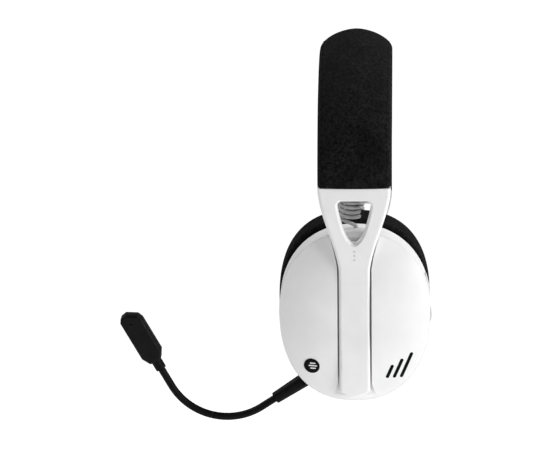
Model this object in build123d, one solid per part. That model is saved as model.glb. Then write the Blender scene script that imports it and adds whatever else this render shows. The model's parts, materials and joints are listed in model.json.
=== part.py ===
from build123d import *
import math
import os

# A wireless over-ear gaming headset with a plug-in boom microphone.
#
# Headset frame: the origin is on the underside of the headband at its crown, where the head
# carries it. +X is the wearer's left, -Y is forward, +Z is up.
#
# Cup frame: x is rearward along the rim plane, y is up along it, z is the cup's outward normal.
# Every cup part is built there for the left side, placed by CUP_PLANE, and mirrored for the right.

# ------------------------------------------------------------------ headband, in mm and degrees
CROWN_THICKNESS = 21.0
END_THICKNESS = 12.0
CROWN_WIDTH = 41.6
END_WIDTH = 38.4
CROWN_POWER = 2.0
END_POWER = 2.8
BAND_STATIONS = 15
COVER_WALL = 1.2
ARCH_HALF_SPAN = 88.0
ARCH_RISE = 78.0
ARCH_CHANGE = 50.0
CUP_TILT = 15.0
ARCH_END = 90.0 + CUP_TILT
SPRING_OFFSET = 2.0
SPRING_THICKNESS = 0.8
SPRING_WIDTH = 18.0

# ------------------------------------------------------------------ cup outline and depth
CUP_HALF_WIDTH = 40.0
CUP_HALF_TOP = 43.0
CUP_HALF_BOTTOM = 50.5
CUP_WIDEST = (CUP_HALF_BOTTOM - CUP_HALF_TOP) / 2
CUP_POWER = 2.3
CUP_TOP_POWER = 2.15
DOME_HEIGHT = 8.8
DOME_POWER = 2.4
SHELL_WALL = 2.0
FRAME_DEPTH = 16.0
FRAME_WALL = 2.2
SIDE_LEVEL = -FRAME_DEPTH / 2
BAFFLE_THICKNESS = 2.2
GAP = 0.3

# ------------------------------------------------------------------ yoke, channel and slide
YOKE_UNDERSIDE = 2.6
YOKE_THICKNESS = 5.8
YOKE_TOP = 72.0
YOKE_MIDDLE = YOKE_UNDERSIDE + YOKE_THICKNESS / 2
STEM_HALF = 8.2
STEM_END = -40.2
STEM_BULGE = 3.0
WINDOW_TOP = 64.9
WINDOW_BOTTOM = 41.8
WINDOW_HALF = 9.2
TONGUE_LENGTH = 13.0
TONGUE_WIDTH = 24.0
TONGUE_THICKNESS = 1.8
POST_SPACING = 10.0
POST_RADIUS = 1.5
CHANNEL_HALF = 9.0
CHANNEL_FLOOR = 1.2
CHANNEL_WALL = 1.8
FLOOR_BOTTOM = CHANNEL_FLOOR - CHANNEL_WALL
FOOT_LOW = -34.0
FOOT_LENGTH = 26.0
CUP_TRAVEL = 30.0
NECK_HALF = 2.8
FLANGE_HALF = 5.8
FLANGE_THICKNESS = 1.8
GUIDE_HALF = 8.4
GUIDE_BOTTOM = -4.0

# ------------------------------------------------------------------ lead and its coils
LEAD_RADIUS = 0.8
WIRE_RADIUS = 1.0
COIL_RADIUS = 5.75
COIL_ACROSS = -2.3
COIL_LEVEL = -4.6
COIL_BOTTOM = 51.6
COIL_TOP = 64.5
LEAD_OFFSET = -2.0
LEAD_LEVEL = YOKE_MIDDLE + LEAD_OFFSET
LEAD_HOLE_ACROSS = 1.2

# ------------------------------------------------------------------ driver, cushion and screws
DRIVER_RADIUS = 25.0
DRIVER_FRONT = -13.8
MAGNET_RADIUS = 12.0
MAGNET_TOP = -4.7
EAR_HALF_WIDTH = 21.0
EAR_HALF_HEIGHT = 30.0
EAR_POWER = 2.2
RING_BACK = -FRAME_DEPTH - 0.2
RING_THICKNESS = 2.0
CUSHION_BACK = RING_BACK - RING_THICKNESS
CUSHION_DEPTH = 27.0
CUSHION_COVER = 1.2
SCREW_RADIUS = 1.1
SCREW_LENGTH = 9.0
BOSS_RADIUS = 2.8
BOSS_INSET = 4.4
BOSS_ANGLES = (50.0, 130.0, 200.0, 252.0)

# ------------------------------------------------------------------ controls round the left rim
MUTE_ANGLE = 17.0
WHEEL_HEIGHT = -1.0
MODE_ANGLE = -29.0
POWER_ANGLE = -49.0
STATUS_ANGLE = -58.0
USB_ANGLE = -68.0
JACK_ANGLE = -88.0
BUTTON_TRAVEL = 0.6
BUTTON_PROUD = 0.6
WHEEL_RADIUS = 8.5
WHEEL_PROUD = 1.0
WHEEL_THICKNESS = 4.5
WHEEL_NOTCHES = 30
ENCODER_SHAFT = 2.0
BOARD_TOP = -1.8
BOARD_THICKNESS = 1.6
JACK_BORE = 1.8
JACK_DEPTH = 12.0

# ------------------------------------------------------------------ boom microphone
BOOM_ROOT = (-26.3, -37.2)
BOOM_ANGLE = 213.5
PLUG_RADIUS = 1.75
PLUG_LENGTH = 12.0
SLEEVE_START = 1.3
SLEEVE_LENGTH = 18.7
SLEEVE_ROOT_RADIUS = 3.85
SLEEVE_TIP_RADIUS = 3.2
GOOSENECK_RADIUS = 1.85
GOOSENECK_BEND = 34.0
SOCKET_DEPTH = 3.5
MIC_NECK = (-106.9, -27.1)
MIC_ANGLE = 119.3
COLLAR_LENGTH = 5.3
COLLAR_RADIUS = 2.9
MIC_LENGTH = 30.6
MIC_HALF_WIDTH = 5.8
MIC_THICKNESS = 8.4

# ------------------------------------------------------------------ small features
TONGUE_ROOT = 3.0
POST_PROUD = 0.8
POST_CLEARANCE = 0.05
SPRING_SETBACK = 2.0
STEM_SHOULDER = 28.0
WINDOW_CORNER = 2.3
WINDOW_BEVEL = 1.1
YOKE_ROUND = 1.7
SLOPE_TOP = -14.0
SLOPE_RADIUS = 125.0
GROOVE_HALF = 1.4
GROOVE_LENGTH = 5.0
DOTS = 3
DOT_LOW = 33.4
DOT_PITCH = 2.3
DOT_RADIUS = 0.6
DOT_DEPTH = 0.2
COVER_HALF = 10.5
COVER_BACK = -10.8
COVER_SCREW_SPACING = 15.0
COVER_SCREW_HEIGHT = 68.2
FOOT_SCREW_SPACING = 16.0
SMALL_SCREW_RADIUS = 0.9
SMALL_SCREW_LENGTH = 5.0
SMALL_SCREW_BITE = 2.6
SMALL_HEAD_RADIUS = 1.7
SMALL_HEAD_HEIGHT = 1.1
BUMP_RADIUS = 0.4
DETENT_PITCH = 3.0
FLARE_START = -36.0
FLARE_END = -50.0
FLARE_GROWTH = 4.0
LIGHT_BARS = 3
LIGHT_FIRST = 6.6
LIGHT_GROWTH = 3.5
LIGHT_LEFT = 17.3
LIGHT_LOW = -32.3
LIGHT_PITCH = 3.75
LIGHT_ANGLE = 67.3
LIGHT_WIDTH = 1.8
BADGE_RADIUS = 4.3
BADGE_THICKNESS = 1.2
BADGE_PROUD = 0.15
BADGE_ACROSS = -22.9
BADGE_UP = -26.2
BOSS_TOP = -1.2
USB_LENGTH = 9.0
USB_WIDTH = 3.3
USB_DEPTH = 7.5
USB_SHELL = 0.7
JACK_NOSE = 2.9
STATUS_RADIUS = 1.0
SOCKET_NOSE = 2.6
SOCKET_BODY = 4.2
SOCKET_SHOULDER = 4.0
SOCKET_SETBACK = 0.4
PLUG_BITE = 2.0
SLIP = 0.05
GRILLE_THICKNESS = 1.0
GRILLE_RADIUS = 22.0
GRILLE_HOLE = 2.2
GRILLE_PITCH = 7.6
BASKET_TOP = -9.0
RING_LIP = 3.0
CUSHION_GROWTH = 0.4
CUSHION_TOP_GROWTH = 2.2
CUSHION_POWER = 2.4
CUSHION_FORWARD = 0.5
LEAD_CLEARANCE = 0.5
BUTTON_REAR = 5.2
BATTERY_HALF = 10.0
BATTERY_ACROSS = 23.2
BATTERY_LOW = -20.0
BATTERY_LENGTH = 34.0
BATTERY_BOTTOM = -7.2
MIC_WALL = 1.2
MIC_PORT_RADIUS = 0.7
MIC_PORT_ACROSS = -0.4
MIC_PORT_ALONG = 25.0
UP = (Align.CENTER, Align.CENTER, Align.MIN)
DOWN = (Align.CENTER, Align.CENTER, Align.MAX)

# Angle round the rim, length along the rim and width of each button.
BUTTONS = {
    "mute_button": (MUTE_ANGLE, 9.0, 4.4),
    "mode_button": (MODE_ANGLE, 13.0, 4.4),
    "power_button": (POWER_ANGLE, 6.4, 4.4),
}


def cos(degrees):
    return math.cos(math.radians(degrees))


def sin(degrees):
    return math.sin(math.radians(degrees))


def arch_radii():
    """Radii of the crown arc and of the side arc that reach the half span and the rise."""
    across_crown = sin(ARCH_CHANGE)
    across_side = sin(ARCH_END) - sin(ARCH_CHANGE)
    down_crown = 1 - cos(ARCH_CHANGE)
    down_side = cos(ARCH_CHANGE) - cos(ARCH_END)
    scale = across_crown * down_side - across_side * down_crown
    crown = (ARCH_HALF_SPAN * down_side - ARCH_RISE * across_side) / scale
    side = (ARCH_RISE * across_crown - ARCH_HALF_SPAN * down_crown) / scale
    return crown, side


CROWN_RADIUS, SIDE_RADIUS = arch_radii()


def arch_point(turn, offset=0.0, y=0.0):
    """The arch's centreline, turn degrees from the crown towards +X, moved out by offset."""
    angle = abs(turn)
    radius = CROWN_RADIUS if angle <= ARCH_CHANGE else SIDE_RADIUS
    shift = CROWN_RADIUS - radius
    x = shift * sin(ARCH_CHANGE) + (radius + offset) * sin(angle)
    z = shift * cos(ARCH_CHANGE) + (radius + offset) * cos(angle) - CROWN_RADIUS
    return Vector(math.copysign(x, turn), y, z + CROWN_THICKNESS / 2)


def cup_plane():
    """The left cup's rim plane, hung from the end of the arch by the yoke."""
    outward = Vector(cos(CUP_TILT), 0, -sin(CUP_TILT))
    upward = Vector(sin(CUP_TILT), 0, cos(CUP_TILT))
    centre = arch_point(ARCH_END) - upward * YOKE_TOP - outward * YOKE_MIDDLE
    return Plane(origin=centre, x_dir=(0, 1, 0), z_dir=outward)


CUP_PLANE = cup_plane()


def place(shape, side):
    """Move a shape from the cup frame to the headset frame, on the left or on the right."""
    placed = CUP_PLANE.location * shape
    return placed if side == "left" else mirror(placed, about=Plane.YZ)


def oval(half_width, half_top, half_bottom, power, centre_y=0.0, count=32, top_power=None):
    """A face inside a superellipse whose upper and lower halves may differ in height and power."""
    points = []
    for step in range(count):
        angle = 360 * step / count
        upper = sin(angle) > 0
        share = 2 / (top_power if upper and top_power else power)
        x = half_width * math.copysign(abs(cos(angle)) ** share, cos(angle))
        half = half_top if upper else half_bottom
        y = half * math.copysign(abs(sin(angle)) ** share, sin(angle))
        points.append((x, y + centre_y))
    return make_face(Spline(*points, periodic=True))


def slab(half_width, low_y, high_y, low_z, high_z, centre_x=0.0):
    """A box given by its sides rather than by its centre."""
    depth, height = high_y - low_y, high_z - low_z
    middle = Pos(centre_x, (low_y + high_y) / 2, (low_z + high_z) / 2)
    return middle * Box(2 * half_width, depth, height)


# ==================================================================== headband

def band_section(turn, inset):
    """The band's oval section, turn degrees from the crown, drawn in by inset."""
    crown_share = (1 + cos(180 * turn / ARCH_END)) / 2
    thickness = END_THICKNESS + (CROWN_THICKNESS - END_THICKNESS) * crown_share
    width = END_WIDTH + (CROWN_WIDTH - END_WIDTH) * crown_share
    power = END_POWER + (CROWN_POWER - END_POWER) * crown_share
    along = (cos(turn), 0, -sin(turn))
    plane = Plane(origin=arch_point(turn), x_dir=(0, 1, 0), z_dir=along)
    half = thickness / 2 - inset
    return plane * oval(width / 2 - inset, half, half, power, count=20)


def band_solid(inset, end_gap):
    """The padded band from end to end, drawn in by inset and shortened by end_gap."""
    end = ARCH_END - math.degrees(end_gap / SIDE_RADIUS)
    turns = [end * (2 * i / (BAND_STATIONS - 1) - 1) for i in range(BAND_STATIONS)]
    return loft([band_section(turn, inset) for turn in turns])


def arch_strip(low, high, start, stop, half_width):
    """A strip that follows the arch from start to stop degrees, between two offsets."""
    bends = [turn for turn in (-ARCH_CHANGE, ARCH_CHANGE) if start < turn < stop]
    turns = [start, *bends, stop]
    edges = []
    for offset in (low, high):
        edges += arch_arcs(offset, turns)
    edges += [Line(arch_point(turn, low), arch_point(turn, high)) for turn in (start, stop)]
    return extrude(make_face(edges), amount=half_width, both=True)


def arch_arcs(offset, turns, y=0.0):
    """Tangent arcs along the arch at an offset, one between each two turns."""
    arcs = []
    for start, stop in zip(turns, turns[1:]):
        points = [arch_point(turn, offset, y) for turn in (start, (start + stop) / 2, stop)]
        arcs.append(ThreePointArc(*points))
    return arcs


def on_both_sides(shape):
    """A shape of the left side together with its mirror image."""
    return [shape, mirror(shape, about=Plane.YZ)]


def tongue_turn(distance):
    """The turn of a station that far past the band's end, inside the band."""
    return ARCH_END - math.degrees(distance / SIDE_RADIUS)


def left_tongue():
    """The curved tongue of the left yoke that the band's end slips over."""
    top = SPRING_OFFSET - SPRING_THICKNESS / 2
    overlap = ARCH_END + math.degrees(TONGUE_ROOT / SIDE_RADIUS)
    return arch_strip(top - TONGUE_THICKNESS, top, tongue_turn(TONGUE_LENGTH), overlap, TONGUE_WIDTH / 2)


def left_posts(radius):
    """Two posts on the tongue that the spring's end clips over."""
    turn = tongue_turn(TONGUE_LENGTH / 2)
    low = SPRING_OFFSET - SPRING_THICKNESS / 2 - TONGUE_THICKNESS / 2
    height = TONGUE_THICKNESS / 2 + SPRING_THICKNESS + POST_PROUD
    parts = []
    for y in (-POST_SPACING / 2, POST_SPACING / 2):
        plane = Plane(origin=arch_point(turn, low, y), z_dir=(sin(turn), 0, cos(turn)))
        parts.append(plane * Cylinder(radius, height, align=UP))
    return parts


def headband_spring():
    """The flat steel strip that presses the cups together."""
    end = tongue_turn(SPRING_SETBACK)
    half = SPRING_THICKNESS / 2
    strip = arch_strip(SPRING_OFFSET - half, SPRING_OFFSET + half, -end, end, SPRING_WIDTH / 2)
    for post in left_posts(POST_RADIUS + POST_CLEARANCE):
        strip -= on_both_sides(post)
    return strip


def lead_bend(side):
    """Two arcs that carry the lead from the coil's top into the end of the band."""
    rise = YOKE_TOP - COIL_TOP
    across = LEAD_LEVEL - COIL_LEVEL
    radius = (rise ** 2 + across ** 2) / (4 * across)
    half = math.degrees(math.atan2(across, rise))
    step_up = radius * sin(half)
    step_out = radius * (1 - cos(half))
    stations = [(COIL_TOP, COIL_LEVEL),
                (COIL_TOP + step_up, COIL_LEVEL + step_out),
                (COIL_TOP + rise / 2, COIL_LEVEL + across / 2),
                (YOKE_TOP - step_up, LEAD_LEVEL - step_out),
                (YOKE_TOP, LEAD_LEVEL)]
    points = [cup_point(COIL_ACROSS, up, out, side) for up, out in stations]
    print(f"lead bend radius {radius:.2f}, {radius / (2 * LEAD_RADIUS):.1f} diameters")
    return [ThreePointArc(*points[:3]), ThreePointArc(*points[2:])]


def cup_point(across, up, out, side):
    """A point of the cup frame in the headset frame."""
    point = CUP_PLANE.from_local_coords((across, up, out))
    return point if side == "left" else Vector(-point.X, point.Y, point.Z)


def headband_lead(radius):
    """The lead that joins the two cups through the band, as one smooth tube."""
    turns = (-ARCH_END, -ARCH_CHANGE, ARCH_CHANGE, ARCH_END)
    arcs = [*lead_bend("right"), *arch_arcs(LEAD_OFFSET, turns, COIL_ACROSS), *lead_bend("left")]
    path = Wire(arcs)
    section = Plane(origin=path @ 0, z_dir=path % 0) * Circle(radius)
    return sweep(section, path=path)


# ==================================================================== yoke and slide

def yoke_outline(grow=0.0):
    """The Y-arm seen square on: as wide as the band on top, then narrowing into the stem."""
    top_half, stem_half = END_WIDTH / 2 + grow, STEM_HALF + grow
    shoulder, hip, heel = (top_half, YOKE_TOP), (stem_half, STEM_SHOULDER), (stem_half, STEM_END)
    side = Bezier(shoulder, (top_half - 0.2, 58.0), (stem_half + 2.4, 44.0), hip)
    right = [side, Line(hip, heel)]
    left = [mirror(edge, about=Plane.YZ) for edge in right]
    foot = ThreePointArc(heel, (0, STEM_END - STEM_BULGE), (-stem_half, STEM_END))
    return make_face([*right, foot, *left, Line((-top_half, YOKE_TOP), shoulder)])


def window_outline(grow=0.0):
    """The rounded triangular window between the arms of the Y."""
    top = WINDOW_TOP + grow
    bottom = WINDOW_BOTTOM - grow
    half = WINDOW_HALF + grow
    side = Bezier((half, top), (half - 1.2, 57.0), (5.0 + grow, bottom), (0, bottom))
    face = make_face([side, mirror(side, about=Plane.YZ), Line((-half, top), (half, top))])
    corners = face.vertices().sort_by(Axis.Y)[-2:]
    return fillet(corners, WINDOW_CORNER)


def yoke(side):
    """The white plastic arm with its window, its tongue for the band and its lead groove."""
    plate = extrude(Pos(0, 0, YOKE_UNDERSIDE) * yoke_outline(), amount=YOKE_THICKNESS)
    plate -= stem_slope()
    plate = fillet([edge for edge in plate.edges() if is_outer_edge(edge)], YOKE_ROUND)
    window = extrude(Pos(0, 0, YOKE_UNDERSIDE) * window_outline(), amount=YOKE_THICKNESS)
    plate -= window
    rim = [edge for edge in plate.faces().sort_by(Axis.Z)[-1].edges() if is_window_edge(edge)]
    plate = chamfer(rim, WINDOW_BEVEL)
    groove_top = LEAD_LEVEL + LEAD_RADIUS + GAP
    groove_low = YOKE_TOP - GROOVE_LENGTH
    plate -= slab(GROOVE_HALF, groove_low, YOKE_TOP, YOKE_UNDERSIDE, groove_top, COIL_ACROSS)
    for dot in range(DOTS):
        level = DOT_LOW + dot * DOT_PITCH
        plate -= Pos(0, level, YOKE_UNDERSIDE + YOKE_THICKNESS) * Cylinder(DOT_RADIUS, 2 * DOT_DEPTH)
    for hole in cover_screw_places() + foot_screw_places():
        plate -= Pos(*hole, YOKE_UNDERSIDE) * Cylinder(SMALL_SCREW_RADIUS, 2 * SMALL_SCREW_BITE)
    arm = CUP_PLANE.location * plate + left_tongue()
    for post in left_posts(POST_RADIUS):
        arm += post
    return arm if side == "left" else mirror(arm, about=Plane.YZ)


def stem_slope():
    """What the stem's lower end loses where it curves down towards the dome."""
    outer = YOKE_UNDERSIDE + YOKE_THICKNESS
    block = slab(20, STEM_END - 10, SLOPE_TOP, YOKE_UNDERSIDE, outer + 1)
    barrel = Pos(0, SLOPE_TOP, outer - SLOPE_RADIUS) * Rot(0, 90, 0) * Cylinder(SLOPE_RADIUS, 60)
    return block - barrel


def is_outer_edge(edge):
    """Whether an edge runs round the yoke's outer face, clear of the band."""
    centre, size = edge.center(), edge.bounding_box().size
    upright = size.Z > size.X + size.Y
    seam = abs(centre.Y - SLOPE_TOP) < 0.1 and size.Y < 0.01
    return centre.Z > YOKE_UNDERSIDE + 1 and centre.Y < YOKE_TOP - 1 and not upright and not seam


def is_window_edge(edge):
    """Whether an edge of the yoke's outer face belongs to its window."""
    centre = edge.center()
    inside_height = WINDOW_BOTTOM - 0.5 < centre.Y < WINDOW_TOP + 0.5
    return inside_height and abs(centre.X) < WINDOW_HALF + 0.1 and edge.bounding_box().size.Y < 24


def cover_screw_places():
    """Where two screws hold the yoke's inner cover."""
    reach = COVER_SCREW_SPACING / 2
    return [(-reach, COVER_SCREW_HEIGHT), (reach, COVER_SCREW_HEIGHT)]


def foot_screw_places():
    """Where two screws hold the sliding foot to the stem."""
    middle = FOOT_LOW + FOOT_LENGTH / 2
    return [(0, middle - FOOT_SCREW_SPACING / 2), (0, middle + FOOT_SCREW_SPACING / 2)]


def yoke_cover():
    """The inner cover behind the top of the Y, which the coil hangs from."""
    low, high = COIL_TOP, YOKE_TOP - 0.2
    body = slab(COVER_HALF, low, high, COVER_BACK, YOKE_UNDERSIDE)
    corners = body.edges().filter_by(Axis.Z)
    body = fillet(corners, 2.0)
    back = body.faces().sort_by(Axis.Z)[0]
    body = fillet(back.edges(), 1.2)
    body -= slab(COVER_HALF - 1.6, low + 1.6, high - 1.6, COVER_BACK + 1.6, YOKE_UNDERSIDE)
    exit_low = LEAD_LEVEL - LEAD_RADIUS - GAP
    body -= slab(GROOVE_HALF, high - 2, high, exit_low - 2.6, YOKE_UNDERSIDE, COIL_ACROSS)
    body -= Pos(COIL_ACROSS, low, COIL_LEVEL) * Rot(90, 0, 0) * Cylinder(LEAD_RADIUS + LEAD_CLEARANCE, 4)
    for x, y in cover_screw_places():
        post = Cylinder(2.6, YOKE_UNDERSIDE - COVER_BACK - 1.2, align=DOWN)
        body += Pos(x, y, YOKE_UNDERSIDE) * post
        body -= Pos(x, y, 0) * Cylinder(SMALL_SCREW_RADIUS, 40)
        body -= Pos(x, y, small_screw_seat(YOKE_UNDERSIDE)) * head_pocket()
    return body


def head_pocket():
    """The counterbore for a small screw, from its seat out towards the head."""
    return Cylinder(SMALL_HEAD_RADIUS + 0.15, 20, align=DOWN)


def small_screw_seat(surface):
    """The level of a small screw's head, given the level of the face its thread enters."""
    return surface - (SMALL_SCREW_LENGTH - SMALL_SCREW_BITE)


def small_screw(seat):
    """A pan-head screw that points out of the cup, with its head below the seat."""
    shank = Cylinder(SMALL_SCREW_RADIUS, SMALL_SCREW_LENGTH, align=UP)
    head = Cylinder(SMALL_HEAD_RADIUS, SMALL_HEAD_HEIGHT, align=DOWN)
    slot = Box(0.5, 2 * SMALL_HEAD_RADIUS, 0.8)
    return Pos(0, 0, seat) * (shank + head - Pos(0, 0, -SMALL_HEAD_HEIGHT) * slot)


def yoke_screws():
    """Four identical small screws, two in the inner cover and two in the sliding foot."""
    seat = small_screw_seat(YOKE_UNDERSIDE)
    return [Pos(x, y, 0) * small_screw(seat) for x, y in cover_screw_places() + foot_screw_places()]


def slide_foot():
    """The T-shaped runner under the stem, which the cup's guide slides along."""
    high = FOOT_LOW + FOOT_LENGTH
    flange_top = FLOOR_BOTTOM - GAP
    neck = slab(NECK_HALF, FOOT_LOW, high, flange_top - 0.1, YOKE_UNDERSIDE)
    flange = slab(FLANGE_HALF, FOOT_LOW, high, flange_top - FLANGE_THICKNESS, flange_top)
    foot = neck + flange
    for x, y in foot_screw_places():
        foot -= Pos(x, y, 0) * Cylinder(SMALL_SCREW_RADIUS, 20)
        foot -= Pos(x, y, small_screw_seat(YOKE_UNDERSIDE)) * head_pocket()
    return foot


def slide_guide():
    """The channel in the cup that holds the foot, with a row of detent bumps along one wall."""
    low = FOOT_LOW - 2.0
    high = FOOT_LOW + FOOT_LENGTH + CUP_TRAVEL + 2.0
    guide = slab(GUIDE_HALF, low, high, GUIDE_BOTTOM, FLOOR_BOTTOM)
    inner = FLANGE_HALF + GAP
    guide -= slab(inner, low + 1.2, high - 1.2, GUIDE_BOTTOM + 1.0, FLOOR_BOTTOM)
    bump = Cylinder(BUMP_RADIUS, 1.2)
    for step in range(int(CUP_TRAVEL / DETENT_PITCH) + 1):
        y = FOOT_LOW + FOOT_LENGTH / 2 + step * DETENT_PITCH
        guide += Pos(inner + BUMP_RADIUS * 0.7, y, FLOOR_BOTTOM - 2.6) * bump
    return guide


# ==================================================================== cup housings

def cup_oval(width, top, bottom):
    """A face with the cup's outline, given its half width and the heights of its halves."""
    return oval(width, top, bottom, CUP_POWER, centre_y=CUP_WIDEST, top_power=CUP_TOP_POWER)


def cup_face(inset):
    """The cup's outline at the rim plane, drawn in by inset."""
    return cup_oval(CUP_HALF_WIDTH - inset, CUP_HALF_TOP - inset, CUP_HALF_BOTTOM - inset)


def dome_height(share):
    """The dome's height where the outline is scaled by share."""
    return DOME_HEIGHT * (1 - share ** DOME_POWER)


def dome(inset):
    """The cup's convex outer face as a solid on the rim plane, drawn in by inset."""
    sections = []
    for share in (1, 0.96, 0.9, 0.82, 0.72, 0.6, 0.45, 0.25):
        height = dome_height(share) * (DOME_HEIGHT - inset) / DOME_HEIGHT
        width, top = (CUP_HALF_WIDTH - inset) * share, (CUP_HALF_TOP - inset) * share
        bottom = (CUP_HALF_BOTTOM - inset) * share
        sections.append(Pos(0, 0, height) * cup_oval(width, top, bottom))
    return loft(sections)


def dome_level(x, y):
    """The dome's height above the rim plane at a point of it."""
    upper = y > CUP_WIDEST
    half = CUP_HALF_TOP if upper else CUP_HALF_BOTTOM
    power = CUP_TOP_POWER if upper else CUP_POWER
    across, up = abs(x / CUP_HALF_WIDTH), abs((y - CUP_WIDEST) / half)
    return dome_height((across ** power + up ** power) ** (1 / power))


def dome_plane(x, y):
    """A plane tangent to the dome over a point of the rim plane."""
    step = 0.5
    slope_x = (dome_level(x + step, y) - dome_level(x - step, y)) / (2 * step)
    slope_y = (dome_level(x, y + step) - dome_level(x, y - step)) / (2 * step)
    return Plane(origin=(x, y, dome_level(x, y)), x_dir=(1, 0, slope_x), z_dir=(-slope_x, -slope_y, 1))


def channel(wall, floor):
    """The groove for the stem, which flares at both ends; wall and floor make its lining."""
    gap = CHANNEL_HALF - STEM_HALF + wall
    groove = slab(CHANNEL_HALF + wall, -80, 80, floor, 40)
    groove += extrude(Pos(0, 0, floor) * yoke_outline(gap), amount=40)
    half = CHANNEL_HALF + wall
    end = (half + FLARE_GROWTH, FLARE_END)
    flare = Polyline((half, FLARE_START), end, (-end[0], end[1]), (-half, FLARE_START), close=True)
    return groove + extrude(Pos(0, 0, floor) * make_face(flare), amount=40)


def outer_shell_blank():
    """The outer shell before its trim is let in: a thin dome with the stem's channel."""
    lining = channel(CHANNEL_WALL, FLOOR_BOTTOM)
    shell = dome(0) - (dome(SHELL_WALL) - lining)
    floor = extrude(Pos(0, 0, FLOOR_BOTTOM) * cup_face(FRAME_WALL), amount=-FLOOR_BOTTOM)
    shell += floor & lining
    shell -= channel(0, CHANNEL_FLOOR)
    slot_high = FOOT_LOW + FOOT_LENGTH + CUP_TRAVEL + 1
    shell -= slab(NECK_HALF + GAP, FOOT_LOW - 1, slot_high, FLOOR_BOTTOM - 1, CHANNEL_FLOOR + 1)
    return shell


def light_prisms():
    """Three slanting bars of growing length, as prisms through the shell."""
    prisms = []
    for bar in range(LIGHT_BARS):
        length = LIGHT_FIRST + bar * LIGHT_GROWTH
        start = Vector(LIGHT_LEFT + bar * LIGHT_PITCH, LIGHT_LOW, 0)
        middle = start + Vector(cos(LIGHT_ANGLE), sin(LIGHT_ANGLE), 0) * (length / 2)
        slot = SlotCenterToCenter(length, LIGHT_WIDTH)
        prisms.append(extrude(Pos(middle) * Rot(0, 0, LIGHT_ANGLE) * slot, amount=20))
    return prisms


def light_bars(shell):
    """The smoked light bars that fill their slots flush with the shell."""
    return [shell & prism for prism in light_prisms()]


def badge():
    """A plain round trim disc, let in flush with the dome."""
    disc = Cylinder(BADGE_RADIUS, BADGE_THICKNESS, align=DOWN)
    return dome_plane(BADGE_ACROSS, BADGE_UP) * (Pos(0, 0, BADGE_PROUD) * disc)


def outer_shell(shell):
    """The outer shell with its light slots and its badge recess."""
    for prism in light_prisms():
        shell -= prism
    return shell - badge()


def rim_plane(angle, level=SIDE_LEVEL):
    """A plane on the cup's side wall: z points out of the wall, x runs along it."""
    power = CUP_TOP_POWER if sin(angle) > 0 else CUP_POWER
    across = math.copysign(abs(cos(angle)) ** (2 / power), cos(angle))
    up = math.copysign(abs(sin(angle)) ** (2 / power), sin(angle))
    half = CUP_HALF_TOP if up > 0 else CUP_HALF_BOTTOM
    steep = power - 1
    out_x = math.copysign(abs(across) ** steep, across) / CUP_HALF_WIDTH
    out_y = math.copysign(abs(up) ** steep, up) / half
    origin = (CUP_HALF_WIDTH * across, CUP_WIDEST + half * up, level)
    return Plane(origin=origin, x_dir=(-out_y, out_x, 0), z_dir=(out_x, out_y, 0))


def bosses():
    """Four posts inside the wall that take the housing screws."""
    length = -DRIVER_FRONT + BOSS_TOP
    post = Cylinder(BOSS_RADIUS, length, align=UP)
    return [Pos(*boss_place(angle), DRIVER_FRONT) * post for angle in BOSS_ANGLES]


def boss_place(angle):
    """The centre of a screw post, just inside the wall."""
    plane = rim_plane(angle)
    point = plane.origin - plane.z_dir * BOSS_INSET
    return point.X, point.Y


def cup_ring():
    """The cup's side wall, with its screw posts and the hole for the lead."""
    wall = extrude(Pos(0, 0, -FRAME_DEPTH) * cup_face(0), amount=FRAME_DEPTH)
    wall -= extrude(Pos(0, 0, -FRAME_DEPTH) * cup_face(FRAME_WALL), amount=FRAME_DEPTH)
    for post in bosses():
        wall += post
    for angle in BOSS_ANGLES:
        pilot = Cylinder(SCREW_RADIUS, 2 * SCREW_LENGTH)
        wall -= Pos(*boss_place(angle), DRIVER_FRONT) * pilot
    lead_hole = Rot(90, 0, 0) * Cylinder(WIRE_RADIUS, 12)
    return wall - Pos(LEAD_HOLE_ACROSS, CUP_HALF_TOP + CUP_WIDEST, SIDE_LEVEL) * lead_hole


def left_cup_ring():
    """The left side wall, with the openings for the controls, the ports and the boom."""
    wall = cup_ring()
    wall -= wheel_plane() * Cylinder(WHEEL_RADIUS + 2 * GAP, WHEEL_THICKNESS + 4 * GAP)
    for angle, length, width in BUTTONS.values():
        hole = extrude(SlotOverall(length + 2 * GAP, width + 2 * GAP), amount=6, both=True)
        wall -= rim_plane(angle) * hole
    wall -= rim_plane(USB_ANGLE) * extrude(SlotOverall(USB_LENGTH, USB_WIDTH), amount=6, both=True)
    wall -= rim_plane(JACK_ANGLE) * Cylinder(JACK_NOSE, 12)
    wall -= rim_plane(STATUS_ANGLE) * Cylinder(STATUS_RADIUS, 12)
    return wall - boom_plane() * Cylinder(SOCKET_NOSE, 14)


def baffle():
    """The inner wall of the cup, with the driver's grille and the screw holes."""
    plate = extrude(Pos(0, 0, -FRAME_DEPTH) * cup_face(FRAME_WALL), amount=BAFFLE_THICKNESS)
    grille_depth = BAFFLE_THICKNESS - GRILLE_THICKNESS
    pocket = Cylinder(GRILLE_RADIUS, grille_depth, align=DOWN)
    plate -= Pos(0, 0, DRIVER_FRONT) * pocket
    hole = Cylinder(GRILLE_HOLE, 4 * BAFFLE_THICKNESS)
    plate -= Pos(0, 0, -FRAME_DEPTH) * hole
    for ring in (1, 2):
        for step in range(6 * ring):
            angle = 60 * step / ring
            reach = ring * GRILLE_PITCH
            plate -= Pos(reach * cos(angle), reach * sin(angle), -FRAME_DEPTH) * hole
    for angle in BOSS_ANGLES:
        plate -= Pos(*boss_place(angle), 0) * Cylinder(SCREW_RADIUS, 60)
    return plate


def housing_screws():
    """Four identical screws that clamp the baffle to the side wall."""
    shank = Cylinder(SCREW_RADIUS, SCREW_LENGTH, align=UP)
    return [Pos(*boss_place(angle), -FRAME_DEPTH) * shank for angle in BOSS_ANGLES]


# ==================================================================== driver and cushion

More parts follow.
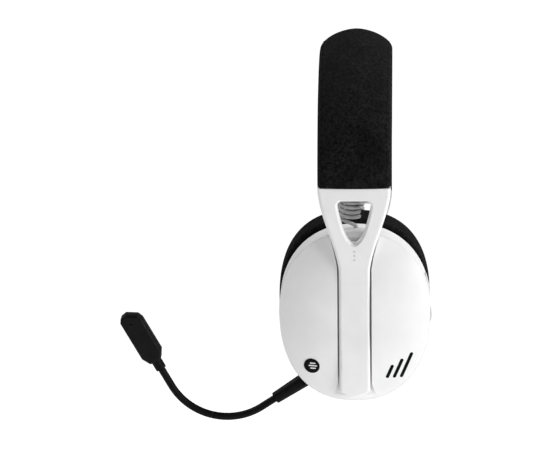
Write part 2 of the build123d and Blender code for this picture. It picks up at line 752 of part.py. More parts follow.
def turned(*profile):
    """A solid of revolution about the cup's axis, from (radius, level) points."""
    corners = [(radius, 0, level) for radius, level in profile]
    return revolve(make_face(Polyline(*corners, close=True)), axis=Axis.Z)


def driver_frame():
    """The driver's basket, from its mounting flange up to the magnet's seat."""
    flange, seat = DRIVER_FRONT, BASKET_TOP
    return turned((DRIVER_RADIUS, flange), (DRIVER_RADIUS, flange + 1.6), (23.8, flange + 1.6),
                  (14.5, seat), (8.6, seat), (8.6, seat - 1.2), (13.9, seat - 1.2), (22.8, flange + 1.0),
                  (22.8, flange))


def driver_magnet():
    """The magnet and its steel cup, on top of the basket."""
    height = MAGNET_TOP - BASKET_TOP
    cup = Cylinder(MAGNET_RADIUS, height, align=UP)
    return Pos(0, 0, BASKET_TOP) * cup


def diaphragm():
    """The thin cone with its surround and the voice coil glued to its back."""
    low = DRIVER_FRONT + 0.1
    return turned((22.6, low), (22.6, low + 0.3), (19.0, low + 0.7), (9.0, low + 0.4), (8.2, low + 3.0),
                  (7.6, low + 3.0), (7.6, low + 0.3), (0, low + 1.0), (0, low + 0.7), (7.6, low),
                  (9.0, low + 0.1), (19.0, low + 0.4), (22.0, low))


def ear_hole(grow=0.0):
    """The oval opening that the ear sits in."""
    half = EAR_HALF_HEIGHT + grow
    return oval(EAR_HALF_WIDTH + grow, half, half, EAR_POWER)


def ear_mesh():
    """The acoustic cloth that hides the baffle inside the cushion."""
    return extrude(Pos(0, 0, RING_BACK) * ear_hole(RING_LIP - 0.3), amount=-0.5)


def cushion_ring():
    """The plastic ring that the cushion's skirt grips, clipped to the baffle."""
    ring = extrude(Pos(0, 0, RING_BACK) * cup_face(1.2), amount=-RING_THICKNESS)
    return ring - extrude(Pos(0, 0, RING_BACK) * ear_hole(RING_LIP), amount=-RING_THICKNESS)


def cushion_face(inset):
    """The cushion's outline, squarer than the cup's and a little larger at the top and the front."""
    top = CUP_HALF_TOP + CUSHION_TOP_GROWTH - inset
    bottom = CUP_HALF_BOTTOM + CUSHION_GROWTH - inset
    face = oval(CUP_HALF_WIDTH + CUSHION_GROWTH - inset, top, bottom, CUSHION_POWER, CUP_WIDEST)
    return Pos(-CUSHION_FORWARD, 0, 0) * face


def cushion_body(skin):
    """The padded ring; skin is how far it lies inside the outermost surface."""
    back = CUSHION_BACK
    face = CUSHION_BACK - CUSHION_DEPTH + skin
    outer = [(back, 1.2), (back - 3, 0.0), (face + 8, 0.0), (face + 3, 2.2), (face, 7.0)]
    inner = [(back, 0.0), (face + 6, 0.0), (face, 4.0)]
    body = loft([Pos(0, 0, level) * cushion_face(inset + skin) for level, inset in outer], ruled=True)
    return body - loft([Pos(0, 0, level) * ear_hole(grow + skin) for level, grow in inner], ruled=True)


# ==================================================================== lead, boards and controls

def coiled_lead():
    """The curly lead as one fat tube, with its straight tail into the top of the cup."""
    height = COIL_TOP - COIL_BOTTOM
    coil = Cylinder(COIL_RADIUS, height, align=UP)
    coil = Pos(COIL_ACROSS, COIL_TOP, COIL_LEVEL) * Rot(90, 0, 0) * coil
    wall_top = CUP_HALF_TOP + CUP_WIDEST
    start = (COIL_ACROSS - COIL_RADIUS + 2 * WIRE_RADIUS, COIL_BOTTOM + WIRE_RADIUS, COIL_LEVEL)
    bend = (LEAD_HOLE_ACROSS, wall_top + WIRE_RADIUS, SIDE_LEVEL)
    finish = (LEAD_HOLE_ACROSS, wall_top - FRAME_WALL - 1, SIDE_LEVEL)
    path = FilletPolyline(start, bend, finish, radius=WIRE_RADIUS * 1.2)
    section = Plane(origin=path @ 0, z_dir=path % 0) * Circle(WIRE_RADIUS)
    return coil + sweep(section, path=path)


def main_board():
    """The left cup's circuit board with its switches and its main parts."""
    corners = [(9.4, -32), (22, -32), (31.5, -20), (34.5, -4), (33.5, 9), (9.4, 9)]
    underside = BOARD_TOP - BOARD_THICKNESS
    outline = Pos(0, 0, underside) * make_face(Polyline(*corners, close=True))
    board = extrude(outline, amount=BOARD_THICKNESS)
    for x, y, size in ((16, -24, 7.0), (15, 0, 5.0)):
        chip = Box(size, size, 1.0, align=DOWN)
        board += Pos(x, y, underside) * chip
    for x, y in ((14, -12), (19, -12)):
        board += Pos(x, y, underside) * Cylinder(1.6, 2.0, align=DOWN)
    return board + volume_encoder()


def tact_switches():
    """One small switch behind each button, standing in the cup."""
    switches = []
    for angle, _, _ in BUTTONS.values():
        depth = BUTTON_REAR + BUTTON_TRAVEL + 0.2
        body = Box(5.0, 4.0, 2.4, align=DOWN)
        switches.append(rim_plane(angle) * (Pos(0, 0, -depth) * body))
    return switches


def button(name):
    """A sprung button in the side wall, with a flange that keeps it in."""
    angle, length, width = BUTTONS[name]
    cap = extrude(Pos(0, 0, -BUTTON_REAR) * SlotOverall(length, width), amount=BUTTON_REAR + BUTTON_PROUD)
    cap = fillet(cap.faces().sort_by(Axis.Z)[-1].edges(), 0.4)
    flange = extrude(Pos(0, 0, -BUTTON_REAR) * SlotOverall(length + 1.6, width + 1.6), amount=0.8)
    return rim_plane(angle) * (cap + flange)


def wheel_plane():
    """The volume wheel's own plane: z along its axle, x out through the side wall."""
    reach = CUP_HALF_WIDTH + WHEEL_PROUD - WHEEL_RADIUS
    return Plane(origin=(reach, WHEEL_HEIGHT, SIDE_LEVEL), z_dir=(0, 0, 1))


def volume_wheel():
    """The volume wheel, notched all round for the finger."""
    wheel = fillet(Cylinder(WHEEL_RADIUS, WHEEL_THICKNESS).edges(), 0.5)
    wheel -= Cylinder(ENCODER_SHAFT + SLIP, 20)
    for step in range(WHEEL_NOTCHES):
        wheel -= Rot(0, 0, 360 * step / WHEEL_NOTCHES) * Pos(WHEEL_RADIUS + 0.1, 0, 0) * Cylinder(0.4, 20)
    return wheel_plane() * wheel


def volume_encoder():
    """The rotary encoder under the board that carries the wheel on its shaft."""
    wheel_top = SIDE_LEVEL + WHEEL_THICKNESS / 2
    top = BOARD_TOP - BOARD_THICKNESS
    body = Box(8, 8, top - wheel_top - GAP, align=DOWN)
    shaft = Cylinder(ENCODER_SHAFT, top - SIDE_LEVEL + 2, align=DOWN)
    centre = wheel_plane().origin
    return Pos(centre.X, centre.Y, top) * (body + shaft)


def usb_port():
    """The charging port: a steel shell with its contact tongue."""
    shell = extrude(Pos(0, 0, -USB_DEPTH) * SlotOverall(USB_LENGTH, USB_WIDTH), amount=USB_DEPTH)
    mouth = SlotOverall(USB_LENGTH - USB_SHELL, USB_WIDTH - USB_SHELL)
    shell -= extrude(Pos(0, 0, 1 - USB_DEPTH) * mouth, amount=USB_DEPTH)
    tongue = Box(6.0, 0.7, USB_DEPTH - 2, align=UP)
    return rim_plane(USB_ANGLE) * (shell + Pos(0, 0, 1 - USB_DEPTH) * tongue)


def audio_jack():
    """The 3.5 mm socket, its mouth level with the side wall."""
    nose = Cylinder(JACK_NOSE, JACK_DEPTH + 1.5, align=DOWN)
    block = Box(7.4, 6.4, JACK_DEPTH - 2.5, align=DOWN)
    bore = Cylinder(JACK_BORE, JACK_DEPTH, align=DOWN)
    return rim_plane(JACK_ANGLE) * (nose + Pos(0, 0, -4.0) * block - bore)


def status_lens():
    """The small window of the status light."""
    lens = Cylinder(STATUS_RADIUS, FRAME_WALL + 1.0, align=DOWN)
    return rim_plane(STATUS_ANGLE) * lens


def battery():
    """The flat lithium cell of the right cup, beside the slide guide."""
    high = BATTERY_LOW + BATTERY_LENGTH
    cell = slab(BATTERY_HALF, BATTERY_LOW, high, BATTERY_BOTTOM, BOARD_TOP, BATTERY_ACROSS)
    return fillet(cell.edges(), 1.2)


# ==================================================================== boom microphone

def boom_plane():
    """The plane where the boom leaves the cup: z along the plug, pointing out."""
    return Plane(origin=(*BOOM_ROOT, SIDE_LEVEL), z_dir=(cos(BOOM_ANGLE), sin(BOOM_ANGLE), 0))


def mic_socket():
    """The socket that the boom's plug pushes into."""
    body = Cylinder(SOCKET_BODY, PLUG_LENGTH - 1.5, align=DOWN)
    nose = Cylinder(SOCKET_NOSE, PLUG_LENGTH + 1.1, align=DOWN)
    bore = Cylinder(PLUG_RADIUS + SLIP, PLUG_LENGTH + 0.5, align=DOWN)
    return boom_plane() * (Pos(0, 0, -SOCKET_SHOULDER) * body + Pos(0, 0, -SOCKET_SETBACK) * nose - bore)


def boom_plug():
    """The metal plug on the boom's end."""
    pin = Cylinder(PLUG_RADIUS, PLUG_LENGTH + SLEEVE_START + PLUG_BITE, align=UP)
    tip = pin.faces().sort_by(Axis.Z)[0].edges()
    return boom_plane() * (Pos(0, 0, -PLUG_LENGTH) * fillet(tip, 0.8))


def boom_sleeve():
    """The tapered sleeve that joins the plug to the gooseneck, keyed at its root."""
    length = SLEEVE_LENGTH
    sleeve = Cone(SLEEVE_ROOT_RADIUS, SLEEVE_TIP_RADIUS, length, align=UP)
    sleeve -= Cylinder(PLUG_RADIUS, 2 * PLUG_BITE)
    sleeve -= Pos(0, 0, length) * Cylinder(GOOSENECK_RADIUS + 0.1, 2 * SOCKET_DEPTH)
    sleeve -= Pos(0, SLEEVE_ROOT_RADIUS, 0) * Box(2.4, 1.6, 3.0)
    return boom_plane() * (Pos(0, 0, SLEEVE_START) * sleeve)


def gooseneck_ends():
    """Start, corner and finish of the gooseneck's centreline, in the boom's plane."""
    away = Vector(cos(BOOM_ANGLE), sin(BOOM_ANGLE), 0)
    toward = Vector(cos(MIC_ANGLE), sin(MIC_ANGLE), 0)
    reach = SLEEVE_START + SLEEVE_LENGTH - SOCKET_DEPTH + 0.2
    start = Vector(*BOOM_ROOT, SIDE_LEVEL) + away * reach
    finish = Vector(*MIC_NECK, SIDE_LEVEL) - toward * (COLLAR_LENGTH - SOCKET_DEPTH + 0.2)
    gap = finish - start
    run = (gap.X * toward.Y - gap.Y * toward.X) / (away.X * toward.Y - away.Y * toward.X)
    return start, start + away * run, finish


def boom_gooseneck():
    """The flexible stalk, two straight ends joined by one round bend."""
    start, corner, finish = gooseneck_ends()
    path = FilletPolyline(start, corner, finish, radius=GOOSENECK_BEND)
    section = Plane(origin=start, z_dir=path % 0) * Circle(GOOSENECK_RADIUS)
    return sweep(section, path=path)


def mic_plane():
    """The microphone's own plane: y from its neck to its tip, z out of the boom's plane."""
    across = (sin(MIC_ANGLE), -cos(MIC_ANGLE), 0)
    return Plane(origin=(*MIC_NECK, SIDE_LEVEL), x_dir=across, z_dir=(0, 0, 1))


def mic_collar():
    """The short collar between the gooseneck and the microphone."""
    collar = Cylinder(COLLAR_RADIUS, COLLAR_LENGTH, align=UP)
    collar -= Cylinder(GOOSENECK_RADIUS + 0.1, 2 * SOCKET_DEPTH)
    return mic_plane() * (Pos(0, -COLLAR_LENGTH, 0) * Rot(-90, 0, 0) * collar)


def mic_outline(inset=0.0):
    """The microphone seen square on: a bar with a tapered neck and a slanting tip."""
    half = MIC_HALF_WIDTH
    corners = [(-3.2, 0), (3.2, 0), (half, 4.2), (half, 24.3), (4.6, 27.2), (-1.0, MIC_LENGTH),
               (-4.2, MIC_LENGTH - 0.6), (-half, 27.6), (-half, 4.8)]
    face = make_face(Polyline(*corners, close=True))
    face = fillet(face.vertices(), 1.0)
    return offset(face, amount=-inset) if inset else face


def mic_half(front):
    """One half of the microphone's shell, hollow for the capsule."""
    half = MIC_THICKNESS / 2
    shell = extrude(mic_outline(), amount=half)
    shell = fillet(shell.faces().sort_by(Axis.Z)[-1].edges(), 1.4)
    shell -= extrude(mic_outline(MIC_WALL), amount=half - MIC_WALL)
    if front:
        shell -= mic_port() * Cylinder(MIC_PORT_RADIUS, 20)
    else:
        shell = mirror(shell, about=Plane.XY)
    return mic_plane() * shell


def mic_port():
    """Where the small sound port is, near the tip."""
    return Pos(MIC_PORT_ACROSS, MIC_PORT_ALONG, 0)


def mic_capsule():
    """The round electret capsule behind the sound port."""
    height = MIC_THICKNESS - 2 * MIC_WALL - 0.4
    can = fillet(Cylinder(3.0, height).edges(), 0.4)
    return mic_plane() * (mic_port() * can)


# ==================================================================== writing the parts

def sided_nodes(side):
    """The nodes that both sides have."""
    blank = outer_shell_blank()
    ring = left_cup_ring() if side == "left" else cup_ring()
    foam = cushion_body(CUSHION_COVER)
    nodes = {
        "yoke_cover": yoke_cover(), "yoke_screws": yoke_screws(), "slide_foot": slide_foot(),
        "slide_guide": slide_guide(), "outer_shell": outer_shell(blank), "light_bars": light_bars(blank),
        "badge": badge(), "cup_ring": ring, "baffle": baffle(), "housing_screws": housing_screws(),
        "driver_frame": driver_frame(), "driver_magnet": driver_magnet(), "diaphragm": diaphragm(),
        "ear_mesh": ear_mesh(), "cushion_ring": cushion_ring(), "cushion_foam": foam,
        "cushion_cover": cushion_body(0) - foam, "coiled_lead": coiled_lead(),
    }
    placed = {}
    for name, shape in nodes.items():
        pieces = shape if isinstance(shape, list) else [shape]
        placed[f"{side}_{name}"] = [place(piece, side) for piece in pieces]
    placed[f"{side}_yoke"] = [yoke(side)]
    return placed


def headband_nodes():
    """The padded band, its spring and the lead inside it."""
    padding = band_solid(COVER_WALL, COVER_WALL)
    spring = headband_spring()
    lead = headband_lead(LEAD_RADIUS)
    cover = band_solid(0, 0) - padding - lead
    foam = padding - spring - lead
    for piece in (left_tongue(), *left_posts(POST_RADIUS)):
        cover -= on_both_sides(piece)
        foam -= on_both_sides(piece)
    return {"headband_cover": [cover], "headband_foam": [foam], "headband_spring": [spring],
            "headband_lead": [lead]}


def single_nodes():
    """The nodes that only one cup has."""
    left = {
        "main_board": [main_board()], "tact_switches": tact_switches(), "volume_wheel": [volume_wheel()],
        "usb_port": [usb_port()], "audio_jack": [audio_jack()],
        "status_lens": [status_lens()], "mic_socket": [mic_socket()], "boom_plug": [boom_plug()],
        "boom_sleeve": [boom_sleeve()], "boom_gooseneck": [boom_gooseneck()], "mic_collar": [mic_collar()],
        "mic_front": [mic_half(True)], "mic_back": [mic_half(False)], "mic_capsule": [mic_capsule()],
    }
    for name in BUTTONS:
        left[name] = [button(name)]
    nodes = {name: [place(piece, "left") for piece in pieces] for name, pieces in left.items()}
    nodes["battery"] = [place(battery(), "right")]
    return nodes


def write(name, pieces):
    """One STEP file for a node, which may hold several separate solids."""
    solids = [solid for piece in pieces for solid in piece.solids()]
    shape = solids[0] if len(solids) == 1 else Compound(children=solids)
    export_step(shape, f"parts/{name}.step")


def main():
    os.makedirs("parts", exist_ok=True)
    nodes = {**headband_nodes(), **sided_nodes("left"), **sided_nodes("right"), **single_nodes()}
    for name, pieces in nodes.items():
        write(name, pieces)
    print(f"{len(nodes)} nodes written")


main()
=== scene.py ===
import json
import math
import random

import bpy
import numpy as np
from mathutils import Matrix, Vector


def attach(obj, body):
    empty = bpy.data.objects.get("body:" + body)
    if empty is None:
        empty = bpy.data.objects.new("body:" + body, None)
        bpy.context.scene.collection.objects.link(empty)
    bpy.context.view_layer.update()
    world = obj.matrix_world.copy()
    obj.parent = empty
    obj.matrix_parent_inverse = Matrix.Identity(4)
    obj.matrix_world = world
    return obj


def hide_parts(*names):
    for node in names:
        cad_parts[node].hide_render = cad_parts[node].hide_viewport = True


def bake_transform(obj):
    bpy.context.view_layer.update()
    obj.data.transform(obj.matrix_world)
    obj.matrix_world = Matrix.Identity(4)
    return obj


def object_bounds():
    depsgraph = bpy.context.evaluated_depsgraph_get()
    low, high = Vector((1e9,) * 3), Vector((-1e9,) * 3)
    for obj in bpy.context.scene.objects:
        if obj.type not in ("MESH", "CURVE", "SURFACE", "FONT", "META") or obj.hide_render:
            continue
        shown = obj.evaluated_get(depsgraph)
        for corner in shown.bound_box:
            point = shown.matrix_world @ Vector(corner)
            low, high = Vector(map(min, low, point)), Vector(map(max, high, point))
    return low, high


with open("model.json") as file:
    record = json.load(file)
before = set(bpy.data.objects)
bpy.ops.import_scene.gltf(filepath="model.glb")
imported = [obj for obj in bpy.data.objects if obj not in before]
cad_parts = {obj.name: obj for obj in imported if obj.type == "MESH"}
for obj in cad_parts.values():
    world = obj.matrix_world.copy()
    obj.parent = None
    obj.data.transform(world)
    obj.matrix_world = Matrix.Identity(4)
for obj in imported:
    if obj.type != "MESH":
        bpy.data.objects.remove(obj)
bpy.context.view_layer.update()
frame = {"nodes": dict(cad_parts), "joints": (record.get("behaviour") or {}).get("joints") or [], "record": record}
random.seed(7)

# Everything is in the row frame. Sizes below are in millimetres and become metres in the helpers.
MM = 0.001

# The headband's arch and section, as in the CAD source.
CROWN_THICKNESS = 21.0
END_THICKNESS = 12.0
CROWN_WIDTH = 41.6
END_WIDTH = 38.4
CROWN_POWER = 2.0
END_POWER = 2.8
ARCH_HALF_SPAN = 88.0
ARCH_RISE = 78.0
ARCH_CHANGE = 50.0
ARCH_END = 105.0

# The cup's outline, its cushion and the coil, as in the CAD source.
CUSHION_POWER = 2.4
CUSHION_FORWARD = 0.5
CUSHION_HALF_WIDTH = 40.4
CUSHION_HALF_TOP = 45.2
CUSHION_HALF_BOTTOM = 50.9
CUP_WIDEST = 3.75
EAR_HALF_WIDTH = 21.0
EAR_HALF_HEIGHT = 30.0
EAR_POWER = 2.2
WHEEL_AT = (32.5, -1.0, -8.0)


# ------------------------------------------------------------------ frame helpers

def joint(name):
    return next(j for j in frame["joints"] if j["name"] == name)


CUP_OUT = Vector(joint("volume_wheel_turn")["axis"])
CUP_UP = -Vector(joint("left_cup_slide")["axis"])
CUP_BACK = Vector((0, 1, 0))


def cup_vector(across, up, out):
    """A direction or a step in the left cup's frame, in metres."""
    return (CUP_BACK * across + CUP_UP * up + CUP_OUT * out) * MM


CUP_CENTRE = Vector(joint("volume_wheel_turn")["pos_m"]) - cup_vector(*WHEEL_AT)


def cup_point(across, up, out, side="left"):
    """A point of a cup's frame in the row frame, in metres."""
    point = CUP_CENTRE + cup_vector(across, up, out)
    return point if side == "left" else Vector((-point.x, point.y, point.z))


def heading(angle):
    return Vector((math.cos(angle), math.sin(angle)))


def superellipse(half_width, half_height, power, angle):
    c, s = math.cos(angle), math.sin(angle)
    return (half_width * math.copysign(abs(c) ** (2 / power), c),
            half_height * math.copysign(abs(s) ** (2 / power), s))


def evenly(points, count):
    """count + 1 points spread evenly along a polyline, its two ends among them."""
    points = np.array(points, float)
    steps = np.linalg.norm(np.diff(points, axis=0), axis=1)
    run = np.concatenate([[0], np.cumsum(steps)])
    wanted = np.linspace(0, run[-1], count + 1)
    return np.stack([np.interp(wanted, run, points[:, i]) for i in range(points.shape[1])], axis=1)


# ------------------------------------------------------------------ mesh helpers

def mesh_object(name, vertices, faces, smooth=True):
    mesh = bpy.data.meshes.new(name)
    mesh.from_pydata([tuple(v) for v in vertices], [], faces)
    mesh.update()
    mesh.polygons.foreach_set("use_smooth", [smooth] * len(mesh.polygons))
    obj = bpy.data.objects.new(name, mesh)
    bpy.context.scene.collection.objects.link(obj)
    return obj


def ring_faces(rows, columns, closed_rows=False):
    """Quads over a grid whose columns close on themselves; its rows may close too."""
    faces = []
    for row in range(rows if closed_rows else rows - 1):
        following = (row + 1) % rows
        for column in range(columns):
            beside = (column + 1) % columns
            faces.append((row * columns + column, row * columns + beside,
                          following * columns + beside, following * columns + column))
    return faces


def grid_points(rows, columns, width):
    """The vertex numbers of some rows and columns of a grid that is width columns wide."""
    return [row * width + column for row in rows for column in columns]


def grid_uv(obj, rows, columns, closed_rows, height, girth):
    """A UV map named weave, in metres along and round the grid, which the fabric follows."""
    layer = obj.data.uv_layers.new(name="weave")
    along = np.linspace(0, height, rows + 1 if closed_rows else rows)
    around = np.linspace(0, girth, columns + 1)
    for polygon in obj.data.polygons:
        corners = [obj.data.loops[i].vertex_index for i in polygon.loop_indices]
        cells = [divmod(v, columns) for v in corners if v < rows * columns]
        if len(cells) < len(corners):
            continue
        wraps_row = closed_rows and {0, rows - 1} <= {r for r, _ in cells}
        wraps_column = {0, columns - 1} <= {c for _, c in cells}
        for loop, (row, column) in zip(polygon.loop_indices, cells):
            row += rows if wraps_row and row == 0 else 0
            column += columns if wraps_column and column == 0 else 0
            layer.data[loop].uv = (along[row], around[column])


def mirrored_copy(obj, name):
    """A copy of obj on the other side of the row frame's YZ plane."""
    mesh = obj.data.copy()
    mesh.name = name
    for vertex in mesh.vertices:
        vertex.co.x = -vertex.co.x
    mesh.flip_normals()
    copy = bpy.data.objects.new(name, mesh)
    bpy.context.scene.collection.objects.link(copy)
    return copy


def apply_modifiers(obj):
    evaluated = obj.evaluated_get(bpy.context.evaluated_depsgraph_get())
    mesh = bpy.data.meshes.new_from_object(evaluated)
    obj.modifiers.clear()
    obj.data = mesh


def subdivide(obj, levels=1):
    modifier = obj.modifiers.new("smooth", "SUBSURF")
    modifier.levels = modifier.render_levels = levels
    modifier.uv_smooth = "NONE"
    apply_modifiers(obj)


def coordinates(mesh):
    values = np.zeros(len(mesh.vertices) * 3)
    mesh.vertices.foreach_get("co", values)
    return values.reshape(-1, 3)


def evened(step, rows, columns, axis, reach=4):
    """A grid's steps averaged over reach neighbours each way: rows for axis 0, columns for axis 1."""
    grid = step.reshape(rows, columns, 3)
    if axis == 1:
        shifted = [np.roll(grid, move, axis=1) for move in range(-reach, reach + 1)]
    else:
        padded = np.pad(grid, ((reach, reach), (0, 0), (0, 0)), mode="edge")
        shifted = [padded[start:start + rows] for start in range(2 * reach + 1)]
    return (sum(shifted) / len(shifted)).reshape(-1, 3)


CLOTH_QUALITY = 6
CLOTH_MASS = 0.3
CLOTH_FRAMES = 20
CLOTH_ENLARGED = 5.0
SWELL_LIMIT = 0.6


def inflate(obj, pinned, pressure, shape, axis):
    """Blow padding up with a cloth simulation, evened along its seams.

    shape is the grid's rows and columns, and axis the one the seams run along. A point only moves
    outward, and no further than the swell's limit."""
    before = coordinates(obj.data)
    obj.data.vertices.foreach_set("co", (before * CLOTH_ENLARGED).ravel())
    group = obj.vertex_groups.new(name="pinned")
    group.add([int(i) for i in pinned], 1.0, "REPLACE")
    cloth = obj.modifiers.new("cloth", "CLOTH")
    settings = cloth.settings
    settings.quality = CLOTH_QUALITY
    settings.mass = CLOTH_MASS
    settings.vertex_group_mass = "pinned"
    settings.use_pressure = True
    settings.uniform_pressure_force = pressure
    settings.effector_weights.gravity = 0
    cloth.point_cache.frame_start = 1
    cloth.point_cache.frame_end = CLOTH_FRAMES
    scene = bpy.context.scene
    for number in range(1, CLOTH_FRAMES + 1):
        scene.frame_set(number)
    evaluated = obj.evaluated_get(bpy.context.evaluated_depsgraph_get())
    after = coordinates(evaluated.data) / CLOTH_ENLARGED
    obj.modifiers.clear()
    obj.vertex_groups.clear()
    scene.frame_set(1)
    normals = np.empty(before.size)
    obj.data.vertices.foreach_get("normal", normals)
    normals = normals.reshape(before.shape)
    swell = np.sum((after - before) * normals, axis=1, keepdims=True)
    step = np.clip(swell, 0, SWELL_LIMIT * MM) * normals
    step = evened(evened(step, *shape, axis), *shape, axis)
    obj.data.vertices.foreach_set("co", (before + step).ravel())
    obj.data.update()


# ------------------------------------------------------------------ material helpers

def grey(value):
    return (value, value, value)


class Surface:
    """A node material under construction, with its textures in object coordinates."""

    def __init__(self, name, colour, roughness, metallic=0.0):
        self.material = bpy.data.materials.new(name)
        self.material.use_nodes = True
        self.tree = self.material.node_tree
        self.shader = next(n for n in self.tree.nodes if n.type == "BSDF_PRINCIPLED")
        self.shader.inputs["Base Color"].default_value = (*colour, 1)
        self.shader.inputs["Roughness"].default_value = roughness
        self.shader.inputs["Metallic"].default_value = metallic
        self.place = self.add("ShaderNodeTexCoord").outputs["Object"]

    def add(self, kind, **values):
        node = self.tree.nodes.new(kind)
        for name, value in values.items():
            setattr(node, name, value)
        return node

    def feed(self, socket, value):
        if isinstance(value, bpy.types.NodeSocket):
            self.tree.links.new(value, socket)
        else:
            socket.default_value = value

    def set(self, **sockets):
        for name, value in sockets.items():
            self.shader.inputs[name.replace("_", " ")].default_value = value

    def math(self, operation, *terms, clamp=False):
        node = self.add("ShaderNodeMath", operation=operation, use_clamp=clamp)
        for index, term in enumerate(terms):
            self.feed(node.inputs[index], term)
        return node.outputs[0]

    def noise(self, size_mm, detail=3.0, roughness=0.55, at=None, stretch=None):
        """Noise from 0 to 1 whose blotches are about size_mm across."""
        source = at or self.place
        if stretch:
            mapping = self.add("ShaderNodeMapping")
            self.feed(mapping.inputs["Vector"], source)
            mapping.inputs["Scale"].default_value = stretch
            source = mapping.outputs["Vector"]
        node = self.add("ShaderNodeTexNoise")
        node.inputs["Scale"].default_value = 1 / (size_mm * MM)
        node.inputs["Detail"].default_value = detail
        node.inputs["Roughness"].default_value = roughness
        self.feed(node.inputs["Vector"], source)
        return node.outputs[0]

    def spread(self, value, low, high, from_low=0.3, from_high=0.7):
        """A 0 to 1 value carried over to the span from low to high."""
        node = self.add("ShaderNodeMapRange")
        self.feed(node.inputs["Value"], value)
        limits = {"From Min": from_low, "From Max": from_high, "To Min": low, "To Max": high}
        for name, number in limits.items():
            node.inputs[name].default_value = number
        return node.outputs[0]

    def uneven_gloss(self, value, less, more):
        """Roughness that runs a little below and above the shader's own with a 0 to 1 value."""
        roughness = self.shader.inputs["Roughness"]
        middle = roughness.default_value
        self.feed(roughness, self.spread(value, middle - less, middle + more))

    def tint(self, value, dark, light):
        """Base colour that runs from dark to light with a 0 to 1 value."""
        node = self.add("ShaderNodeMix", data_type="RGBA")
        self.feed(node.inputs["Factor"], value)
        for socket in node.inputs:
            if socket.name == "A" and socket.type == "RGBA":
                socket.default_value = (*dark, 1)
            if socket.name == "B" and socket.type == "RGBA":
                socket.default_value = (*light, 1)
        colour = next(s for s in node.outputs if s.type == "RGBA")
        self.feed(self.shader.inputs["Base Color"], colour)

    def bump(self, height, depth_mm, strength=1.0, rounding_mm=0.0):
        """Relief from a 0 to 1 height, depth_mm deep, over edges rounded by rounding_mm."""
        node = self.add("ShaderNodeBump")
        node.inputs["Strength"].default_value = strength
        node.inputs["Distance"].default_value = depth_mm * MM
        self.feed(node.inputs["Height"], height)
        if rounding_mm:
            edge = self.add("ShaderNodeBevel", samples=4)
            edge.inputs["Radius"].default_value = rounding_mm * MM
            self.feed(node.inputs["Normal"], edge.outputs["Normal"])
        self.feed(self.shader.inputs["Normal"], node.outputs["Normal"])


def moulded_plastic(name, dark, light, roughness, grain=0.012, rounding=0.25, shine=0.5):
    """Moulded plastic: a fine spark-eroded grain, faint flow marks and uneven gloss."""
    surface = Surface(name, light, roughness)
    flow = surface.noise(14, detail=2)
    surface.tint(surface.spread(flow, 0, 1), dark, light)
    surface.uneven_gloss(surface.noise(3, detail=4), 0.05, 0.06)
    surface.bump(surface.noise(0.35, detail=2), grain, rounding_mm=rounding)
    surface.set(Specular_IOR_Level=shine)
    return surface.material


def weave_heights(surface, pitch_mm):
    """Relief of a plain weave that follows the UV map: threads that pass over and under."""
    layer = surface.add("ShaderNodeUVMap", uv_map="weave")
    parts = surface.add("ShaderNodeSeparateXYZ")
    surface.feed(parts.inputs[0], layer.outputs["UV"])
    turns = math.pi / (pitch_mm * MM)
    wobble = surface.math("MULTIPLY", surface.noise(2.5, detail=2), 1.3)
    straight = [surface.math("MULTIPLY", parts.outputs[i], turns) for i in (0, 1)]
    phases = [surface.math("ADD", phase, wobble) for phase in straight]
    warp, weft = [surface.math("ABSOLUTE", surface.math("SINE", phase)) for phase in phases]
    swap = surface.math("MULTIPLY", *[surface.math("COSINE", phase) for phase in phases])
    over = surface.spread(swap, 0, 1, from_low=-0.25, from_high=0.25)
    first = surface.math("MULTIPLY", warp, over)
    second = surface.math("MULTIPLY", weft, surface.math("SUBTRACT", 1.0, over))
    return surface.math("ADD", first, second)


def woven_fabric(name, dark, light, pitch_mm, depth_mm):
    """Black fabric: a weave with raised slubs, worn lighter patches and a soft sheen."""
    surface = Surface(name, light, 0.85)
    weave = weave_heights(surface, pitch_mm)
    slub = surface.noise(1.7, detail=4, roughness=0.7)
    patch = surface.spread(surface.noise(9, detail=2), 0.5, 1.0)
    tone = surface.math("MULTIPLY", surface.spread(slub, 0.05, 1.0, 0.38, 0.66), patch)
    surface.tint(surface.math("MULTIPLY", tone, surface.spread(weave, 0.25, 1.0, 0.1, 0.9)), dark, light)
    height = surface.math("ADD", surface.math("MULTIPLY", weave, 0.6), surface.math("MULTIPLY", slub, 0.9))
    surface.bump(height, depth_mm)
    surface.set(Sheen_Weight=0.015, Sheen_Roughness=0.5, Specular_IOR_Level=0.05)
    return surface.material


def knit_mesh(name):
    """Thin acoustic cloth: round holes in staggered rows over black."""
    surface = Surface(name, grey(0.02), 0.9)
    cells = surface.add("ShaderNodeTexVoronoi", feature="F1")
    cells.inputs["Scale"].default_value = 1 / (1.3 * MM)
    cells.inputs["Randomness"].default_value = 0.15
    surface.feed(cells.inputs["Vector"], surface.place)
    hole = surface.spread(cells.outputs["Distance"], 0, 1, 0.25, 0.45)
    surface.tint(hole, grey(0.002), grey(0.028))
    surface.bump(hole, 0.25)
    surface.set(Sheen_Weight=0.2)
    return surface.material


def soft_rubber(name, dark, light, roughness, shine=0.5):
    """Rubber or soft vinyl: fine grain, faint streaks along it and dusty patches."""
    surface = Surface(name, light, roughness)
    dust = surface.noise(5, detail=4)
    surface.tint(surface.spread(dust, 0, 1, 0.35, 0.7), dark, light)
    surface.uneven_gloss(surface.noise(2), 0.06, 0.08)
    surface.bump(surface.noise(0.4, detail=3), 0.02, rounding_mm=0.2)
    surface.set(Specular_IOR_Level=shine)
    return surface.material


